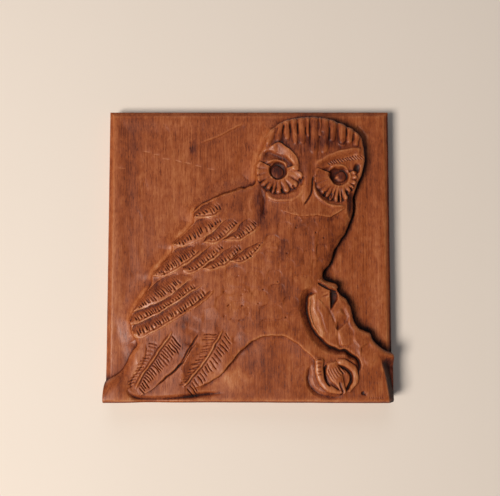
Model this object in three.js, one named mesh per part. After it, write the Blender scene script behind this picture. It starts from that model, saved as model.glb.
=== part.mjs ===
// A square wall plaque of an owl on a rock, cut in relief from one block of wood.
// Millimetres, +Z up. The flat back lies in the plane y = 0 and the carved front faces -Y.
// The carving is a height above the back, worked out for every point (x, z) of the panel.

import * as THREE from "three";

// Driving sizes of the block
const PANEL_WIDTH = 250;
const PANEL_HEIGHT = 256;
const EDGE_THICKNESS = 14;
const CREST_THICKNESS = 16.2;
const GROUND_THICKNESS = 15.2;
const BEVEL_WIDTH = 5;
const CREST_WIDTH = 1;
const DISH_WIDTH = 14;
const LOWEST_CUT = 13;

// Contour of the figure: the wall is cut over this width, and the cove beside it runs this far out
const WALL_WIDTH = 0.8;
const COVE_REACH = 14;

// How finely the front is cut into facets
const UNITS_PER_MM = 8;
const LATTICE_STEP = 1;
const BORDER_STEP = 8;
const MOST_VERTICES = 4600;
const SMALLEST_ERROR = 0.12;
const SEED_SPACING = 0.9;
const CURVE_STEP = 1.5;

const HALF_WIDTH = PANEL_WIDTH / 2;
const HALF_HEIGHT = PANEL_HEIGHT / 2;

// Small measures

const clamp01 = (t) => Math.min(Math.max(t, 0), 1);

// Smooth rise from 0 to 1
function ramp(t) {
  const u = clamp01(t);
  return u * u * (3 - 2 * u);
}

// Rise of a quarter circle from 0 to 1
const quarterRound = (t) => Math.sqrt(1 - (1 - clamp01(t)) ** 2);

// Smooth curve through the points, sampled about every CURVE_STEP. Values after x and z are carried along.
function curveThrough(points, closed = false) {
  const count = points.length;
  const mirrored = (a, b) => a.map((value, k) => 2 * value - b[k]);
  const at = (i) => {
    if (closed) return points[(i + count) % count];
    if (i < 0) return mirrored(points[0], points[1]);
    if (i >= count) return mirrored(points[count - 1], points[count - 2]);
    return points[i];
  };
  const samples = [];
  const spans = closed ? count : count - 1;
  for (let i = 0; i < spans; i++) {
    const [before, start, end, after] = [at(i - 1), at(i), at(i + 1), at(i + 2)];
    const chord = Math.hypot(end[0] - start[0], end[1] - start[1]);
    const tangent = (from, to) => {
      const half = to.map((value, k) => (value - from[k]) / 2);
      const size = Math.hypot(half[0], half[1]);
      const limit = 1.5 * chord;
      return size > limit ? half.map((value) => (value * limit) / size) : half;
    };
    const leaving = tangent(before, end);
    const arriving = tangent(start, after);
    const steps = Math.max(1, Math.ceil(chord / CURVE_STEP));
    for (let s = 0; s < steps; s++) {
      const t = s / steps;
      const [t2, t3] = [t * t, t * t * t];
      samples.push(
        start.map(
          (value, k) =>
            value * (2 * t3 - 3 * t2 + 1) +
            leaving[k] * (t3 - 2 * t2 + t) +
            end[k] * (3 * t2 - 2 * t3) +
            arriving[k] * (t3 - t2),
        ),
      );
    }
  }
  if (!closed) samples.push(points[count - 1].slice());
  return samples;
}

// A line of the drawing with what is needed to measure points against it
class Line {
  constructor(points, { closed = false, smooth = true } = {}) {
    this.points = smooth ? curveThrough(points, closed) : points;
    this.closed = closed;
    const last = this.points.length - (closed ? 0 : 1);
    this.segments = [];
    let start = 0;
    for (let i = 0; i < last; i++) {
      const [a, b] = [this.points[i], this.points[(i + 1) % this.points.length]];
      const length = Math.hypot(b[0] - a[0], b[1] - a[1]);
      this.segments.push({ a, b, dx: b[0] - a[0], dz: b[1] - a[1], length, start });
      start += length;
    }
    this.length = start;
    const xs = this.points.map((p) => p[0]);
    const zs = this.points.map((p) => p[1]);
    this.box = [Math.min(...xs), Math.max(...xs), Math.min(...zs), Math.max(...zs)];
  }

  // True where the point is within the margin of the line's box
  near(x, z, margin) {
    const [x0, x1, z0, z1] = this.box;
    return x > x0 - margin && x < x1 + margin && z > z0 - margin && z < z1 + margin;
  }

  // Distance to the line, share of its length there, side (1 on the left of its run) and carried values
  measure(x, z) {
    let best = Infinity;
    let found = null;
    let along = 0;
    for (const segment of this.segments) {
      const px = x - segment.a[0];
      const pz = z - segment.a[1];
      const t = clamp01((px * segment.dx + pz * segment.dz) / Math.max(segment.length ** 2, 1e-9));
      const distance = (px - t * segment.dx) ** 2 + (pz - t * segment.dz) ** 2;
      if (distance < best) {
        best = distance;
        found = segment;
        along = t;
      }
    }
    const cross = found.dx * (z - found.a[1]) - found.dz * (x - found.a[0]);
    const values = found.a.slice(2).map((value, k) => value + (found.b[k + 2] - value) * along);
    return {
      distance: Math.sqrt(best),
      share: (found.start + along * found.length) / this.length,
      side: cross >= 0 ? 1 : -1,
      values,
    };
  }

  // Point and direction at a share of the length
  at(share) {
    const target = share * this.length;
    const segment = this.segments.find((s) => s.start + s.length >= target) ?? this.segments.at(-1);
    const t = clamp01((target - segment.start) / segment.length);
    const [dx, dz] = [segment.dx / segment.length, segment.dz / segment.length];
    return { x: segment.a[0] + segment.dx * t, z: segment.a[1] + segment.dz * t, dx, dz };
  }

  // Points about every spacing along the line, moved sideways by the offset (to the left where positive)
  offsetPoints(spacing, offset = 0, from = 0, to = 1) {
    const count = Math.max(1, Math.round(((to - from) * this.length) / spacing));
    const result = [];
    for (let i = 0; i <= count; i++) {
      const p = this.at(from + ((to - from) * i) / count);
      result.push([p.x - p.dz * offset, p.z + p.dx * offset]);
    }
    return result;
  }

  // True inside the closed line, by the crossings of a level ray
  holds(x, z) {
    let inside = false;
    for (const { a, b } of this.segments) {
      if (a[1] > z !== b[1] > z && x < ((b[0] - a[0]) * (z - a[1])) / (b[1] - a[1]) + a[0]) inside = !inside;
    }
    return inside;
  }
}

// Cuts and raised forms. Each holds the height it leaves at a point, and the marks that its facets need.

const fadeEnds = (share, taper) => (taper > 0 ? ramp(Math.min(share, 1 - share) / taper) : 1);

// V cut along a line, running out at its ends
function groove(points, { depth, width, taper = 0.25, power = 1, spacing = 4 }) {
  const line = new Line(points, { smooth: points.length > 2 });
  const half = width / 2;
  return {
    marks: [0, -half, half].flatMap((offset) => line.offsetPoints(spacing, offset, 0.04, 0.96)),
    carve(x, z, height) {
      if (!line.near(x, z, half)) return height;
      const { distance, share } = line.measure(x, z);
      const ends = fadeEnds(share, taper);
      return height - depth * ends * clamp01(1 - distance / (half * (0.4 + 0.6 * ends))) ** power;
    },
  };
}

// Short straight nick from a point in a direction: two marks in its bottom and two on the land beside it
function nick(x0, z0, dx, dz, length, { depth, width, pitch }) {
  const cut = groove([[x0, z0], [x0 + dx * length, z0 + dz * length]], { depth, width, taper: 0.22 });
  const sideways = (share, offset) => [
    x0 + dx * length * share - dz * offset,
    z0 + dz * length * share + dx * offset,
  ];
  cut.marks = [sideways(0.18, 0), sideways(0.82, 0), sideways(0.18, pitch / 2), sideways(0.82, pitch / 2)];
  return cut;
}

// Rounded strip standing up along a line
function ridge(points, { height: rise, width, taper = 0.2, spacing = 5 }) {
  const line = new Line(points);
  return {
    marks: line.offsetPoints(spacing),
    carve(x, z, height) {
      if (!line.near(x, z, width / 2)) return height;
      const { distance, share } = line.measure(x, z);
      return height + rise * fadeEnds(share, taper) * (1 - ramp(distance / (width / 2)));
    },
  };
}

// Raised on one side of a line, sharp at the line and fading away from it
function lip(points, { height: rise, reach, side = 1, taper = 0.1, wall = 0.8, spacing = 4 }) {
  const line = new Line(points);
  return {
    marks: [0, wall * side].flatMap((offset) => line.offsetPoints(spacing, offset)),
    carve(x, z, height) {
      if (!line.near(x, z, reach)) return height;
      const measured = line.measure(x, z);
      const across = measured.distance * measured.side * side;
      if (across <= 0) return height;
      const ends = fadeEnds(measured.share, taper);
      return height + rise * ends * clamp01(across / wall) * (1 - ramp(across / reach));
    },
  };
}

// Oval swelling, or a hollow where the height is negative
function dome(cx, cz, rx, rz, rise, power = 1) {
  const marks = [[cx, cz]];
  for (let i = 0; i < 8; i++) {
    const angle = (i * Math.PI) / 4;
    for (const size of [0.6, 1]) {
      marks.push([cx + rx * size * Math.cos(angle), cz + rz * size * Math.sin(angle)]);
    }
  }
  return {
    marks,
    carve(x, z, height) {
      const inside = 1 - ((x - cx) / rx) ** 2 - ((z - cz) / rz) ** 2;
      return height + rise * clamp01(inside) ** power;
    },
  };
}

// Area inside a closed outline moved up or down, with an edge of the given width
function area(points, { height: rise, edge, profile = ramp }) {
  const line = new Line(points, { closed: true });
  return {
    marks: [...line.offsetPoints(4), ...line.offsetPoints(4, -edge)],
    carve(x, z, height) {
      if (!line.near(x, z, 0) || !line.holds(x, z)) return height;
      return height + rise * profile(line.measure(x, z).distance / edge);
    },
  };
}

// Rounded finger along a line, thin at its start and pointed at its end
function finger(points, { width, height: rise, thinning = 0.3 }) {
  const line = new Line(points);
  return {
    marks: [0, -width / 2, width / 2].flatMap((offset) => line.offsetPoints(4, offset)),
    carve(x, z, height) {
      if (!line.near(x, z, width)) return height;
      const { distance, share } = line.measure(x, z);
      const start = 0.75 + 0.25 * ramp(share / 0.1);
      const end = 0.45 + 0.55 * ramp((1 - share) / thinning);
      const half = (width / 2) * (share < 0.5 ? start : end);
      return height + rise * Math.sqrt(clamp01(1 - (distance / half) ** 2)) * ramp(share / 0.12);
    },
  };
}

// Lobes side by side: of their round profiles the highest counts. A lobe runs from one point to another.
function lobes(list, { height: rise, power = 0.6, drop = 0 }) {
  const strips = list.map(([x0, z0, x1, z1, width0, width1]) => ({
    line: new Line([[x0, z0], [x1, z1]], { smooth: false }),
    width0,
    width1,
  }));
  return {
    marks: strips.flatMap(({ line, width0, width1 }) => [
      ...line.offsetPoints(7),
      ...line.offsetPoints(7, (width0 + width1) / 4),
      ...line.offsetPoints(7, -(width0 + width1) / 4),
    ]),
    carve(x, z, height) {
      let top = 0;
      for (const { line, width0, width1 } of strips) {
        if (!line.near(x, z, width0 + width1)) continue;
        const { distance, share } = line.measure(x, z);
        const half = (width0 + (width1 - width0) * share) / 2;
        top = Math.max(top, clamp01(1 - (distance / half) ** 2) ** power);
      }
      return height + rise * top - (top > 0 ? drop : 0);
    },
  };
}

// Rays of a face disc around an eye: [direction in degrees, outer radius, outer width]
function rays([ex, ez], inner, innerWidth, list) {
  return list.map(([degrees, outer, outerWidth]) => {
    const [c, s] = [Math.cos((degrees * Math.PI) / 180), Math.sin((degrees * Math.PI) / 180)];
    return [ex + inner * c, ez + inner * s, ex + outer * c, ez + outer * s, innerWidth, outerWidth];
  });
}

// The board: a bevel at the left, top and right edges, a crest inside it and a slightly hollow ground

function boardHeight(x, z) {
  const inward = Math.min(HALF_WIDTH - Math.abs(x), HALF_HEIGHT - z);
  const bevel = (CREST_THICKNESS - EDGE_THICKNESS) * ramp(inward / BEVEL_WIDTH);
  const dish = (CREST_THICKNESS - GROUND_THICKNESS) * ramp((inward - BEVEL_WIDTH - CREST_WIDTH) / DISH_WIDTH);
  return EDGE_THICKNESS + bevel - dish;
}

// Contour of the figure, in stretches: how wide its edge falls away, the share of its height that is a
// sheer wall, how high the cove beside it climbs, and the points
const CONTOUR = [
  { fall: 4, wall: 0.3, cove: 3.6, points: [[5, 62], [6, 75], [8, 85], [12, 92], [13, 100], [16, 106],
    [22, 112]] },
  { fall: 4, wall: 0.55, cove: 0, points: [[30, 117.5], [40, 120], [55, 121.3], [70, 119.5], [80, 116],
    [90, 111.5], [97, 106]] },
  { fall: 3, wall: 0.7, cove: 0, points: [[100.5, 100], [102, 85], [101, 77], [99.5, 70], [96, 62],
    [93.5, 56]] },
  { fall: 8, wall: 0.5, cove: 0, points: [[92, 50], [92.5, 43], [91, 33], [88, 26], [84, 17], [76, 5],
    [72, -7], [67, -13], [64, -18], [64.5, -21.5]] },
  { fall: 2, wall: 0.65, cove: 0, points: [[70, -24], [76, -25.5], [78, -28.5], [77, -32]] },
  { fall: 4.5, wall: 0.65, cove: 0, points: [[80, -36], [85, -40], [88, -45], [91, -58], [94, -63],
    [100, -66.5], [105, -69], [107, -74], [111, -78], [116, -82.5], [121, -85], [127, -87.5]] },
  { fall: 4, wall: 0.5, cove: 0, points: [[140, -95], [140, -150], [-140, -150], [-140, -114]] },
  { fall: 13, wall: 0.06, cove: 0.8, points: [[-127, -111.5], [-120, -107.5], [-113, -103], [-108, -97],
    [-105, -90]] },
  { fall: 5, wall: 0.25, cove: 3, points: [[-100.5, -84], [-97.5, -79], [-98.5, -74]] },
  { fall: 3, wall: 0.4, cove: 3.6, points: [[-101.5, -70.5], [-103.5, -61], [-103.5, -57], [-98, -45],
    [-92, -36], [-88, -31], [-84.8, -24], [-84.5, -18], [-80, -13], [-75, -7], [-69, -0.5], [-67, 4],
    [-67.5, 8.5], [-62, 13.5], [-50, 26], [-49.5, 31], [-48.5, 37], [-45, 41.5]] },
  { fall: 6, wall: 0.35, cove: 3, points: [[-40, 45.5], [-30, 50.5], [-20, 54.5], [-10, 58], [-1, 59.5]] },
];

const contour = new Line(
  CONTOUR.flatMap(({ fall, wall, cove, points }) => points.map((point) => [...point, fall, wall, cove])),
  { closed: true },
);

// Heights of the rounded masses, [x, z, height]: between them the surface is their weighted mean
const MASSES = [
  // crown and face
  [18, 108, 24], [35, 118, 25], [55, 121, 25.5], [78, 117, 25.5], [95, 106, 25], [30, 104, 26],
  [50, 106, 27.5], [70, 105, 28], [88, 100, 27], [48, 90, 28.5], [48, 75, 28.5], [12, 90, 24.5],
  [8, 70, 24], [24, 72, 26], [36, 62, 27], [20, 55, 26.5], [75, 66, 27.5], [66, 58, 28], [98, 85, 26],
  [96, 66, 25.5], [48, 48, 29], [62, 38, 28], [35, 40, 27.5], [85, 48, 26.5],
  // breast
  [12, 40, 25.3], [20, 25, 27], [40, 20, 28], [58, 20, 27.8], [76, 35, 26], [84, 25, 24.5], [70, 0, 25.5],
  [50, 0, 28], [30, 0, 28.5], [62, -15, 25], [45, -20, 27.8],
  // shoulder and wing
  [0, 54, 23.5], [-20, 50, 23], [-8, 40, 26], [0, 30, 27.3], [-22, 30, 26], [-42, 38, 22.5],
  [-60, 12, 21.5], [-80, -16, 21.5], [-97, -48, 21.5], [-102, -62, 21.5], [-97, -71, 22], [-40, 5, 25],
  [-20, -10, 26.5], [-60, -20, 24.5], [-75, -45, 24.5], [-50, -35, 26], [-30, -25, 27],
  // belly and leg
  [0, -15, 27.8], [-20, -40, 27.5], [0, -50, 28], [20, -45, 28], [38, -50, 27.3], [20, -63, 27.5],
  [40, -68, 27.2], [0, -68, 27], [52, -85, 26.5], [60, -93, 26.5],
  // tail
  [-80, -78, 24.5], [-70, -90, 25], [-50, -78, 26], [-30, -80, 26.5], [-92, -100, 24.3], [-92, -85, 24],
  [-45, -100, 25], [-75, -110, 24.5], [-96, -114, 24.5],
  // ground under the owl
  [0, -90, 24.5], [30, -88, 24.5], [30, -108, 25], [0, -112, 25.3], [-40, -119, 25], [50, -105, 24.8],
  [-112, -122, 27.5], [-60, -122, 25.5], [40, -124, 26.5],
  // rock
  [62, -42, 26.5], [74, -50, 26], [85, -52, 25], [78, -70, 26.5], [95, -75, 26.5], [100, -88, 27],
  [108, -90, 27], [104, -108, 27.5], [98, -122, 28], [75, -124, 27.5],
];
const MASS_REACH = 8;
const FAR_REACH = 20;
const FAR_WEIGHT = 0.02;

// Mean of the masses' heights, each weighted by two bell curves of its distance, a near one and a far one
function massHeight(x, z) {
  let sum = 0;
  let weights = 0;
  for (const [mx, mz, height] of MASSES) {
    const squared = (x - mx) ** 2 + (z - mz) ** 2;
    const near = Math.exp(-squared / (2 * MASS_REACH ** 2));
    const weight = near + FAR_WEIGHT * Math.exp(-squared / (2 * FAR_REACH ** 2)) + 1e-9;
    sum += weight * height;
    weights += weight;
  }
  return sum / weights;
}

// The figure standing on the board: a sheer wall at the contour, then a quarter round up to the masses
function figureHeight(x, z) {
  const { distance, values } = contour.measure(x, z);
  const [fall, wall, cove] = values;
  const inward = contour.holds(x, z) ? distance : -distance;
  const board = boardHeight(x, z) + cove * clamp01(1 + Math.min(inward, 0) / COVE_REACH) ** 1.8;
  if (inward <= -WALL_WIDTH / 2) return board;
  const sheer = wall * clamp01(inward / WALL_WIDTH + 0.5);
  const rounded = (1 - wall) * quarterRound(inward / fall);
  return board + (Math.max(massHeight(x, z), board + 1) - board) * (sheer + rounded);
}

// Wing feathers, from the lowest row up, each with its upper and lower edge from the tip inward, and a
// row of nicks along its upper edge between two shares of its length
const FEATHERS = [
  {
    upper: [[-101.5, -66], [-99, -61.5], [-88, -56.5], [-80, -53], [-70, -47], [-60, -41], [-50, -34],
      [-38, -26]],
    lower: [[-99, -73], [-92, -72.5], [-80, -66.5], [-65, -58], [-50, -48], [-40, -40.5], [-30, -31]],
    nicks: 28, from: 0.06, to: 0.97, length: 5.5,
  },
  {
    upper: [[-103, -58], [-100, -51], [-90, -47], [-80, -43], [-70, -38], [-62, -32], [-55, -26],
      [-45, -19]],
    lower: [[-103, -62], [-95, -60], [-80, -53], [-70, -47], [-60, -41], [-50, -34], [-37, -25]],
    nicks: 28, from: 0.06, to: 0.97, length: 6,
  },
  {
    upper: [[-100, -48], [-96, -42], [-92, -36], [-83, -27], [-78, -23], [-72, -20], [-65, -17.5]],
    lower: [[-100.5, -50.5], [-90, -47], [-80, -43], [-70, -38], [-62, -32], [-55, -26], [-47, -20]],
    nicks: 22, from: 0.04, to: 0.97, length: 4.5,
  },
  {
    upper: [[-40, -12], [-34, -8], [-29, -4.5], [-22, 1.5], [-14, 7], [-8, 9]],
    lower: [[-40, -14], [-33, -15], [-27, -13.5], [-20, -11], [-15, -7], [-8, 0], [-5, 5]],
    nicks: 13, from: 0.08, to: 0.97, length: 6,
  },
  {
    upper: [[-57, -12], [-50, -7], [-44, -2], [-37, 4], [-30, 8], [-24, 9]],
    lower: [[-57, -17], [-50, -17.5], [-45, -15.5], [-40, -12], [-35, -8], [-30, -4.5], [-22, 2]],
    nicks: 14, from: 0.08, to: 0.97, length: 6,
  },
  {
    upper: [[-84, -18], [-80, -13], [-75, -7], [-69, -1], [-64, 4], [-57, 5.5], [-50, 7]],
    lower: [[-84, -19], [-76, -20], [-70, -18], [-60, -13], [-50, -6], [-45, -2], [-37, 5]],
    nicks: 22, from: 0.04, to: 0.97, length: 5.5,
  },
  {
    upper: [[-16, -6], [-10, -1], [-4, 3.5], [3, 7], [9, 10], [14, 12.5]],
    lower: [[-16, -7], [-8, -9], [-3, -7], [3, -3], [8, 2], [12, 7], [14.5, 12]],
    nicks: 9, from: 0.2, to: 0.95, length: 5,
  },
  {
    upper: [[-22, 12], [-17, 16], [-11, 20], [-7, 26], [-2, 30], [4, 31]],
    lower: [[-22, 11], [-15, 10.5], [-8, 11], [-3, 13.5], [3, 17.5], [8, 22], [11, 26]],
    nicks: 9, from: 0.25, to: 0.97, length: 7,
  },
  {
    upper: [[-40, 10.5], [-36, 15], [-30, 19.5], [-24, 26], [-19, 29.5], [-13, 31]],
    lower: [[-40, 10], [-35, 8.5], [-30, 8.5], [-25, 10.5], [-20, 14], [-15, 19], [-7, 27]],
    nicks: 11, from: 0.2, to: 0.97, length: 7,
  },
  {
    upper: [[-67, 8], [-60, 15], [-50, 25], [-46, 29], [-40, 31], [-30, 31], [-23, 33]],
    lower: [[-67, 7], [-60, 5.8], [-52, 8], [-45, 11], [-35, 16.5], [-30, 20], [-24, 26]],
    nicks: 20, from: 0.08, to: 0.97, length: 5.5,
  },
  {
    upper: [[-49, 32], [-47, 36.5], [-42, 41], [-36, 45], [-29, 48]],
    lower: [[-49, 31.5], [-40, 31.5], [-33, 32], [-28, 34], [-23, 37]],
    nicks: 9, from: 0.12, to: 0.95, length: 5.5,
  },
];
const FEATHER_LOW = -1.3;
const FEATHER_HIGH = 1.1;
const FEATHER_CREST = 0.62;
const FEATHER_ROLL = 0.55;
const NICK_DEPTH = 1.1;
const NICK_WIDTH = 1.8;

// A feather lies like a shingle: low along its upper edge, a crest past its middle, then rolled over to its
// lower edge, which stands above the feather below
function shingle({ upper, lower }) {
  const top = new Line(upper);
  const bottom = new Line(lower);
  const outline = new Line([...top.points, ...bottom.points.slice().reverse()],
    { closed: true, smooth: false });
  return {
    marks: [0.3, -0.5].flatMap((offset) => bottom.offsetPoints(4, offset, 0, 0.9)),
    carve(x, z, height, form) {
      if (!outline.near(x, z, 0) || !outline.holds(x, z)) return height;
      const above = top.measure(x, z).distance;
      const below = bottom.measure(x, z);
      const across = above / (above + below.distance + 1e-9);
      const rise = FEATHER_LOW + (FEATHER_HIGH - FEATHER_LOW) * ramp(across / FEATHER_CREST);
      const roll = FEATHER_ROLL * ramp((across - FEATHER_CREST) / (1 - FEATHER_CREST));
      return form + (rise - roll) * (1 - ramp((below.share - 0.75) / 0.25));
    },
  };
}

// Nicks square to the upper edge, pointing down into the feather
function featherNicks({ upper, nicks, from, to, length }) {
  const edge = new Line(upper);
  return Array.from({ length: nicks }, (_, k) => {
    const share = from + ((to - from) * k) / (nicks - 1);
    const { x, z, dx, dz } = edge.at(share);
    const size = length * (0.75 + 0.25 * Math.sin(Math.PI * Math.min(1, share * 1.2)));
    const pitch = ((to - from) * edge.length) / (nicks - 1);
    return nick(x + dz * 0.5, z - dx * 0.5, dz, -dx, size, { depth: NICK_DEPTH, width: NICK_WIDTH, pitch });
  });
}

// Tail: two long feathers with a shaft each and barbs on both sides
const SHAFTS = {
  left: [[-66, -66], [-70, -74], [-74, -81], [-84, -97], [-93, -110], [-97, -117]],
  right: [[-22, -64], [-27, -73], [-31, -81], [-41, -98], [-52, -110], [-57, -115]],
};
const BARBS = [
  { shaft: "left", count: 20, from: 0.02, to: 0.93, length: [12, 9], angle: [-35, -52], depth: 0.9 },
  { shaft: "left", count: 14, from: 0.28, to: 0.9, length: [8, 6], angle: [185, 205], depth: 0.6 },
  { shaft: "right", count: 17, from: 0.02, to: 0.95, length: [10, 7.5], angle: [-42, -58], depth: 0.9 },
  { shaft: "right", count: 16, from: 0.05, to: 0.85, length: [12, 5], angle: [178, 200], depth: 0.7 },
];

function barbRow({ shaft, count, from, to, length, angle, depth }) {
  const line = new Line(SHAFTS[shaft]);
  return Array.from({ length: count }, (_, k) => {
    const t = k / (count - 1);
    const { x, z } = line.at(from + (to - from) * t);
    const radians = ((angle[0] + (angle[1] - angle[0]) * t) * Math.PI) / 180;
    const [dx, dz] = [Math.cos(radians), Math.sin(radians)];
    const size = length[0] + (length[1] - length[0]) * t;
    const pitch = ((to - from) * line.length) / (count - 1);
    return nick(x + dx * 2.4, z + dz * 2.4, dx, dz, size, { depth, width: 1.7, pitch: pitch * 0.9 });
  });
}

function tailForms() {
  return [
    lip([[-47, -79], [-55, -92.5], [-66, -103], [-78, -114], [-85, -119], [-93, -123]],
      { height: 1.4, reach: 12, side: -1, taper: 0.05 }),
    lip([[-42, -68], [-47, -78], [-52, -87], [-58.5, -103], [-59, -110], [-57, -115]],
      { height: 1, reach: 9, taper: 0.08 }),
    groove([[-89, -75], [-92, -84], [-98.5, -103], [-101, -112], [-99, -119]],
      { depth: 0.9, width: 2.4, taper: 0.1 }),
    ...Object.values(SHAFTS).map((shaft) => ridge(shaft, { height: 0.9, width: 3, taper: 0.06 })),
    ...BARBS.flatMap(barbRow),
  ];
}

// Head
const LEFT_EYE = [25, 71.5];
const RIGHT_EYE = [78.5, 67.3];
const TUFTS = [
  [21, 109, 17.5, 98, 7, 5], [27, 114, 26, 102, 6.5, 5], [33, 117.5, 34, 101, 6.5, 5],
  [39.5, 119.5, 41, 99, 6, 4.5], [46, 120.5, 46.5, 99.5, 6, 5], [51.5, 120.5, 51.5, 104, 5, 3.5],
  [57.5, 120.5, 56.5, 90.5, 7, 5], [62.5, 120, 62, 104, 4, 3], [67.5, 119.5, 66.5, 90.5, 6.5, 4.5],
  [74.5, 117.5, 73, 100.5, 6.5, 5], [82, 115, 81, 97.5, 7.5, 6], [89.5, 111, 88, 97, 6, 4.5],
  [95.5, 106, 94, 95, 5, 4],
];
const LEFT_RAYS = [
  [163, 16, 5], [180, 17, 5], [197, 17, 5.5], [213, 17, 5.5], [234, 17.5, 5.5], [252, 17.5, 5],
  [269, 18.5, 5.5], [287, 18.5, 5], [303, 18.5, 5.5], [319, 19, 5.5], [336, 20, 6], [353, 19, 6],
];
const RIGHT_RAYS = [
  [172, 20, 8], [198, 19.5, 8], [222, 21, 7], [240, 20, 5.5], [259, 21, 5.5], [272, 18.5, 3.5],
  [284, 19, 5], [306, 13.5, 3.6], [322, 13.5, 4], [340, 14.5, 4.5], [356, 14.5, 4.5], [12, 14, 4.5],
];

function faceDiscs() {
  const left = [[8, 80], [6.5, 72], [7.5, 63], [12, 55], [20, 51], [30, 50], [40, 52.5], [45.5, 58],
    [47, 66], [43, 71], [37, 77], [30, 81], [18, 82.5]];
  const right = [[58, 73], [56.5, 66], [57, 58], [60.5, 51], [66, 46], [75, 43.5], [83, 45], [87, 52],
    [92, 59], [94, 66], [93, 73], [86, 76.5], [76, 77.5], [66, 76]];
  return [
    area(left, { height: -1.7, edge: 2 }),
    area(right, { height: -1.5, edge: 2 }),
    lobes(rays(LEFT_EYE, 8, 2.6, LEFT_RAYS), { height: 1.5 }),
    lobes(rays(RIGHT_EYE, 8.5, 2.8, RIGHT_RAYS), { height: 1.5 }),
  ];
}

function eyes() {
  const socketDepth = 3;
  return [
    { eye: LEFT_EYE, socket: 7.6, ball: 5.6 },
    { eye: RIGHT_EYE, socket: 7.8, ball: 5.2 },
  ].flatMap(({ eye: [x, z], socket, ball }) => [
    dome(x, z, socket, socket, -socketDepth, 0.5),
    dome(x - 0.2, z - 0.6, ball, ball, socketDepth, 0.5),
  ]);
}

// The hollow under the left brow, the brow itself, and the right brow's crest with hatching under it
function brows() {
  const hollow = new Line([[11, 88], [17, 88.5], [23, 86.5], [28, 84.6], [33, 82.4], [37, 79], [39, 75]]);
  const crest = new Line([[57, 74], [60, 77.7], [66, 80.2], [72, 82.5], [80, 84.9], [87, 86.8], [97, 88]]);
  return [
    {
      marks: hollow.offsetPoints(4),
      carve(x, z, height) {
        if (!hollow.near(x, z, 9)) return height;
        const { distance, share, side } = hollow.measure(x, z);
        return height - 2.3 * (1 - ramp(distance / (side < 0 ? 7.5 : 3))) * fadeEnds(share, 0.15);
      },
    },
    area(
      [[17, 92.5], [20, 95.3], [25, 97.6], [30, 95.7], [35, 92], [39, 87.5], [42, 82], [43.6, 77],
        [43.2, 71.5], [41.2, 72], [40, 76], [38.8, 80], [36, 83.3], [32, 85.6], [27, 87.6], [22, 90]],
      { height: 1.5, edge: 1.5, profile: quarterRound },
    ),
    {
      marks: [0, -2].flatMap((offset) => crest.offsetPoints(4, offset)),
      carve(x, z, height) {
        if (!crest.near(x, z, 9)) return height;
        const { distance, share, side } = crest.measure(x, z);
        const ends = ramp(Math.min(share * 1.5, (1 - share) * 3) / 0.25);
        const above = 1.5 * (1 - ramp(distance / 7.5));
        const below = 1.5 - 2.7 * ramp(distance / 2) + 1.2 * ramp((distance - 2) / 6);
        return height + ends * (side > 0 ? above : below);
      },
    },
    ...Array.from({ length: 14 }, (_, k) => {
      const t = k / 13;
      const [dx, dz] = [Math.cos(-0.73), Math.sin(-0.73)];
      return nick(71.5 + 25.5 * t, 79.3 + 4.6 * t, dx, dz, 4.4 + 2.4 * t,
        { depth: 0.75, width: 1.5, pitch: 1.6 });
    }),
  ];
}

// Beak with the ridge of the forehead over it, the rims under the face discs and the bib below
function beakAndBib() {
  return [
    groove([[55.7, 69], [55.3, 63], [55.2, 57], [54, 51.5], [51, 46.5], [48, 42]],
      { depth: 1.5, width: 3.2, taper: 0.15 }),
    groove([[47.5, 68], [46.3, 62], [45, 57]], { depth: 1.1, width: 3.4, taper: 0.3 }),
    ridge([[50.5, 86], [50.5, 70], [50.5, 60], [49.5, 52], [47.8, 45]],
      { height: 1, width: 9, taper: 0.25 }),
    ridge([[13, 54], [16, 50.6], [22, 47.6], [30, 46.6], [38, 47.6], [44, 51], [47.3, 57]],
      { height: 1, width: 5 }),
    ridge([[55.8, 61], [57, 55.5], [59.5, 50], [64, 46], [70, 42.6], [76, 41.3], [84.5, 42]],
      { height: 1.1, width: 3.6, taper: 0.12 }),
    lip([[26, 38], [36, 33.5], [46, 31.2], [60, 32], [68, 30.8], [74, 32], [80, 35.6], [86, 41]],
      { height: 1.5, reach: 11, taper: 0.12, wall: 0.9 }),
    dome(90.5, 44, 5.5, 13, -2.2),
    groove([[10, 60], [12, 52], [13.5, 46], [13, 38], [12, 30]], { depth: 1.6, width: 8, power: 1.4 }),
  ];
}

// Rock on the right, with the ledge above it and the deep cut that parts it from the body and leg
const ROCK_CUT = [
  [59, -33], [53.5, -35], [50.7, -39], [50, -45], [50.6, -52], [53, -60], [57, -68], [61, -73],
  [66, -77.7], [71, -80.7], [77, -82.6], [83, -84], [88, -87.3], [92.3, -90], [94.8, -94.5], [94.3, -100],
  [93, -104],
];

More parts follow.
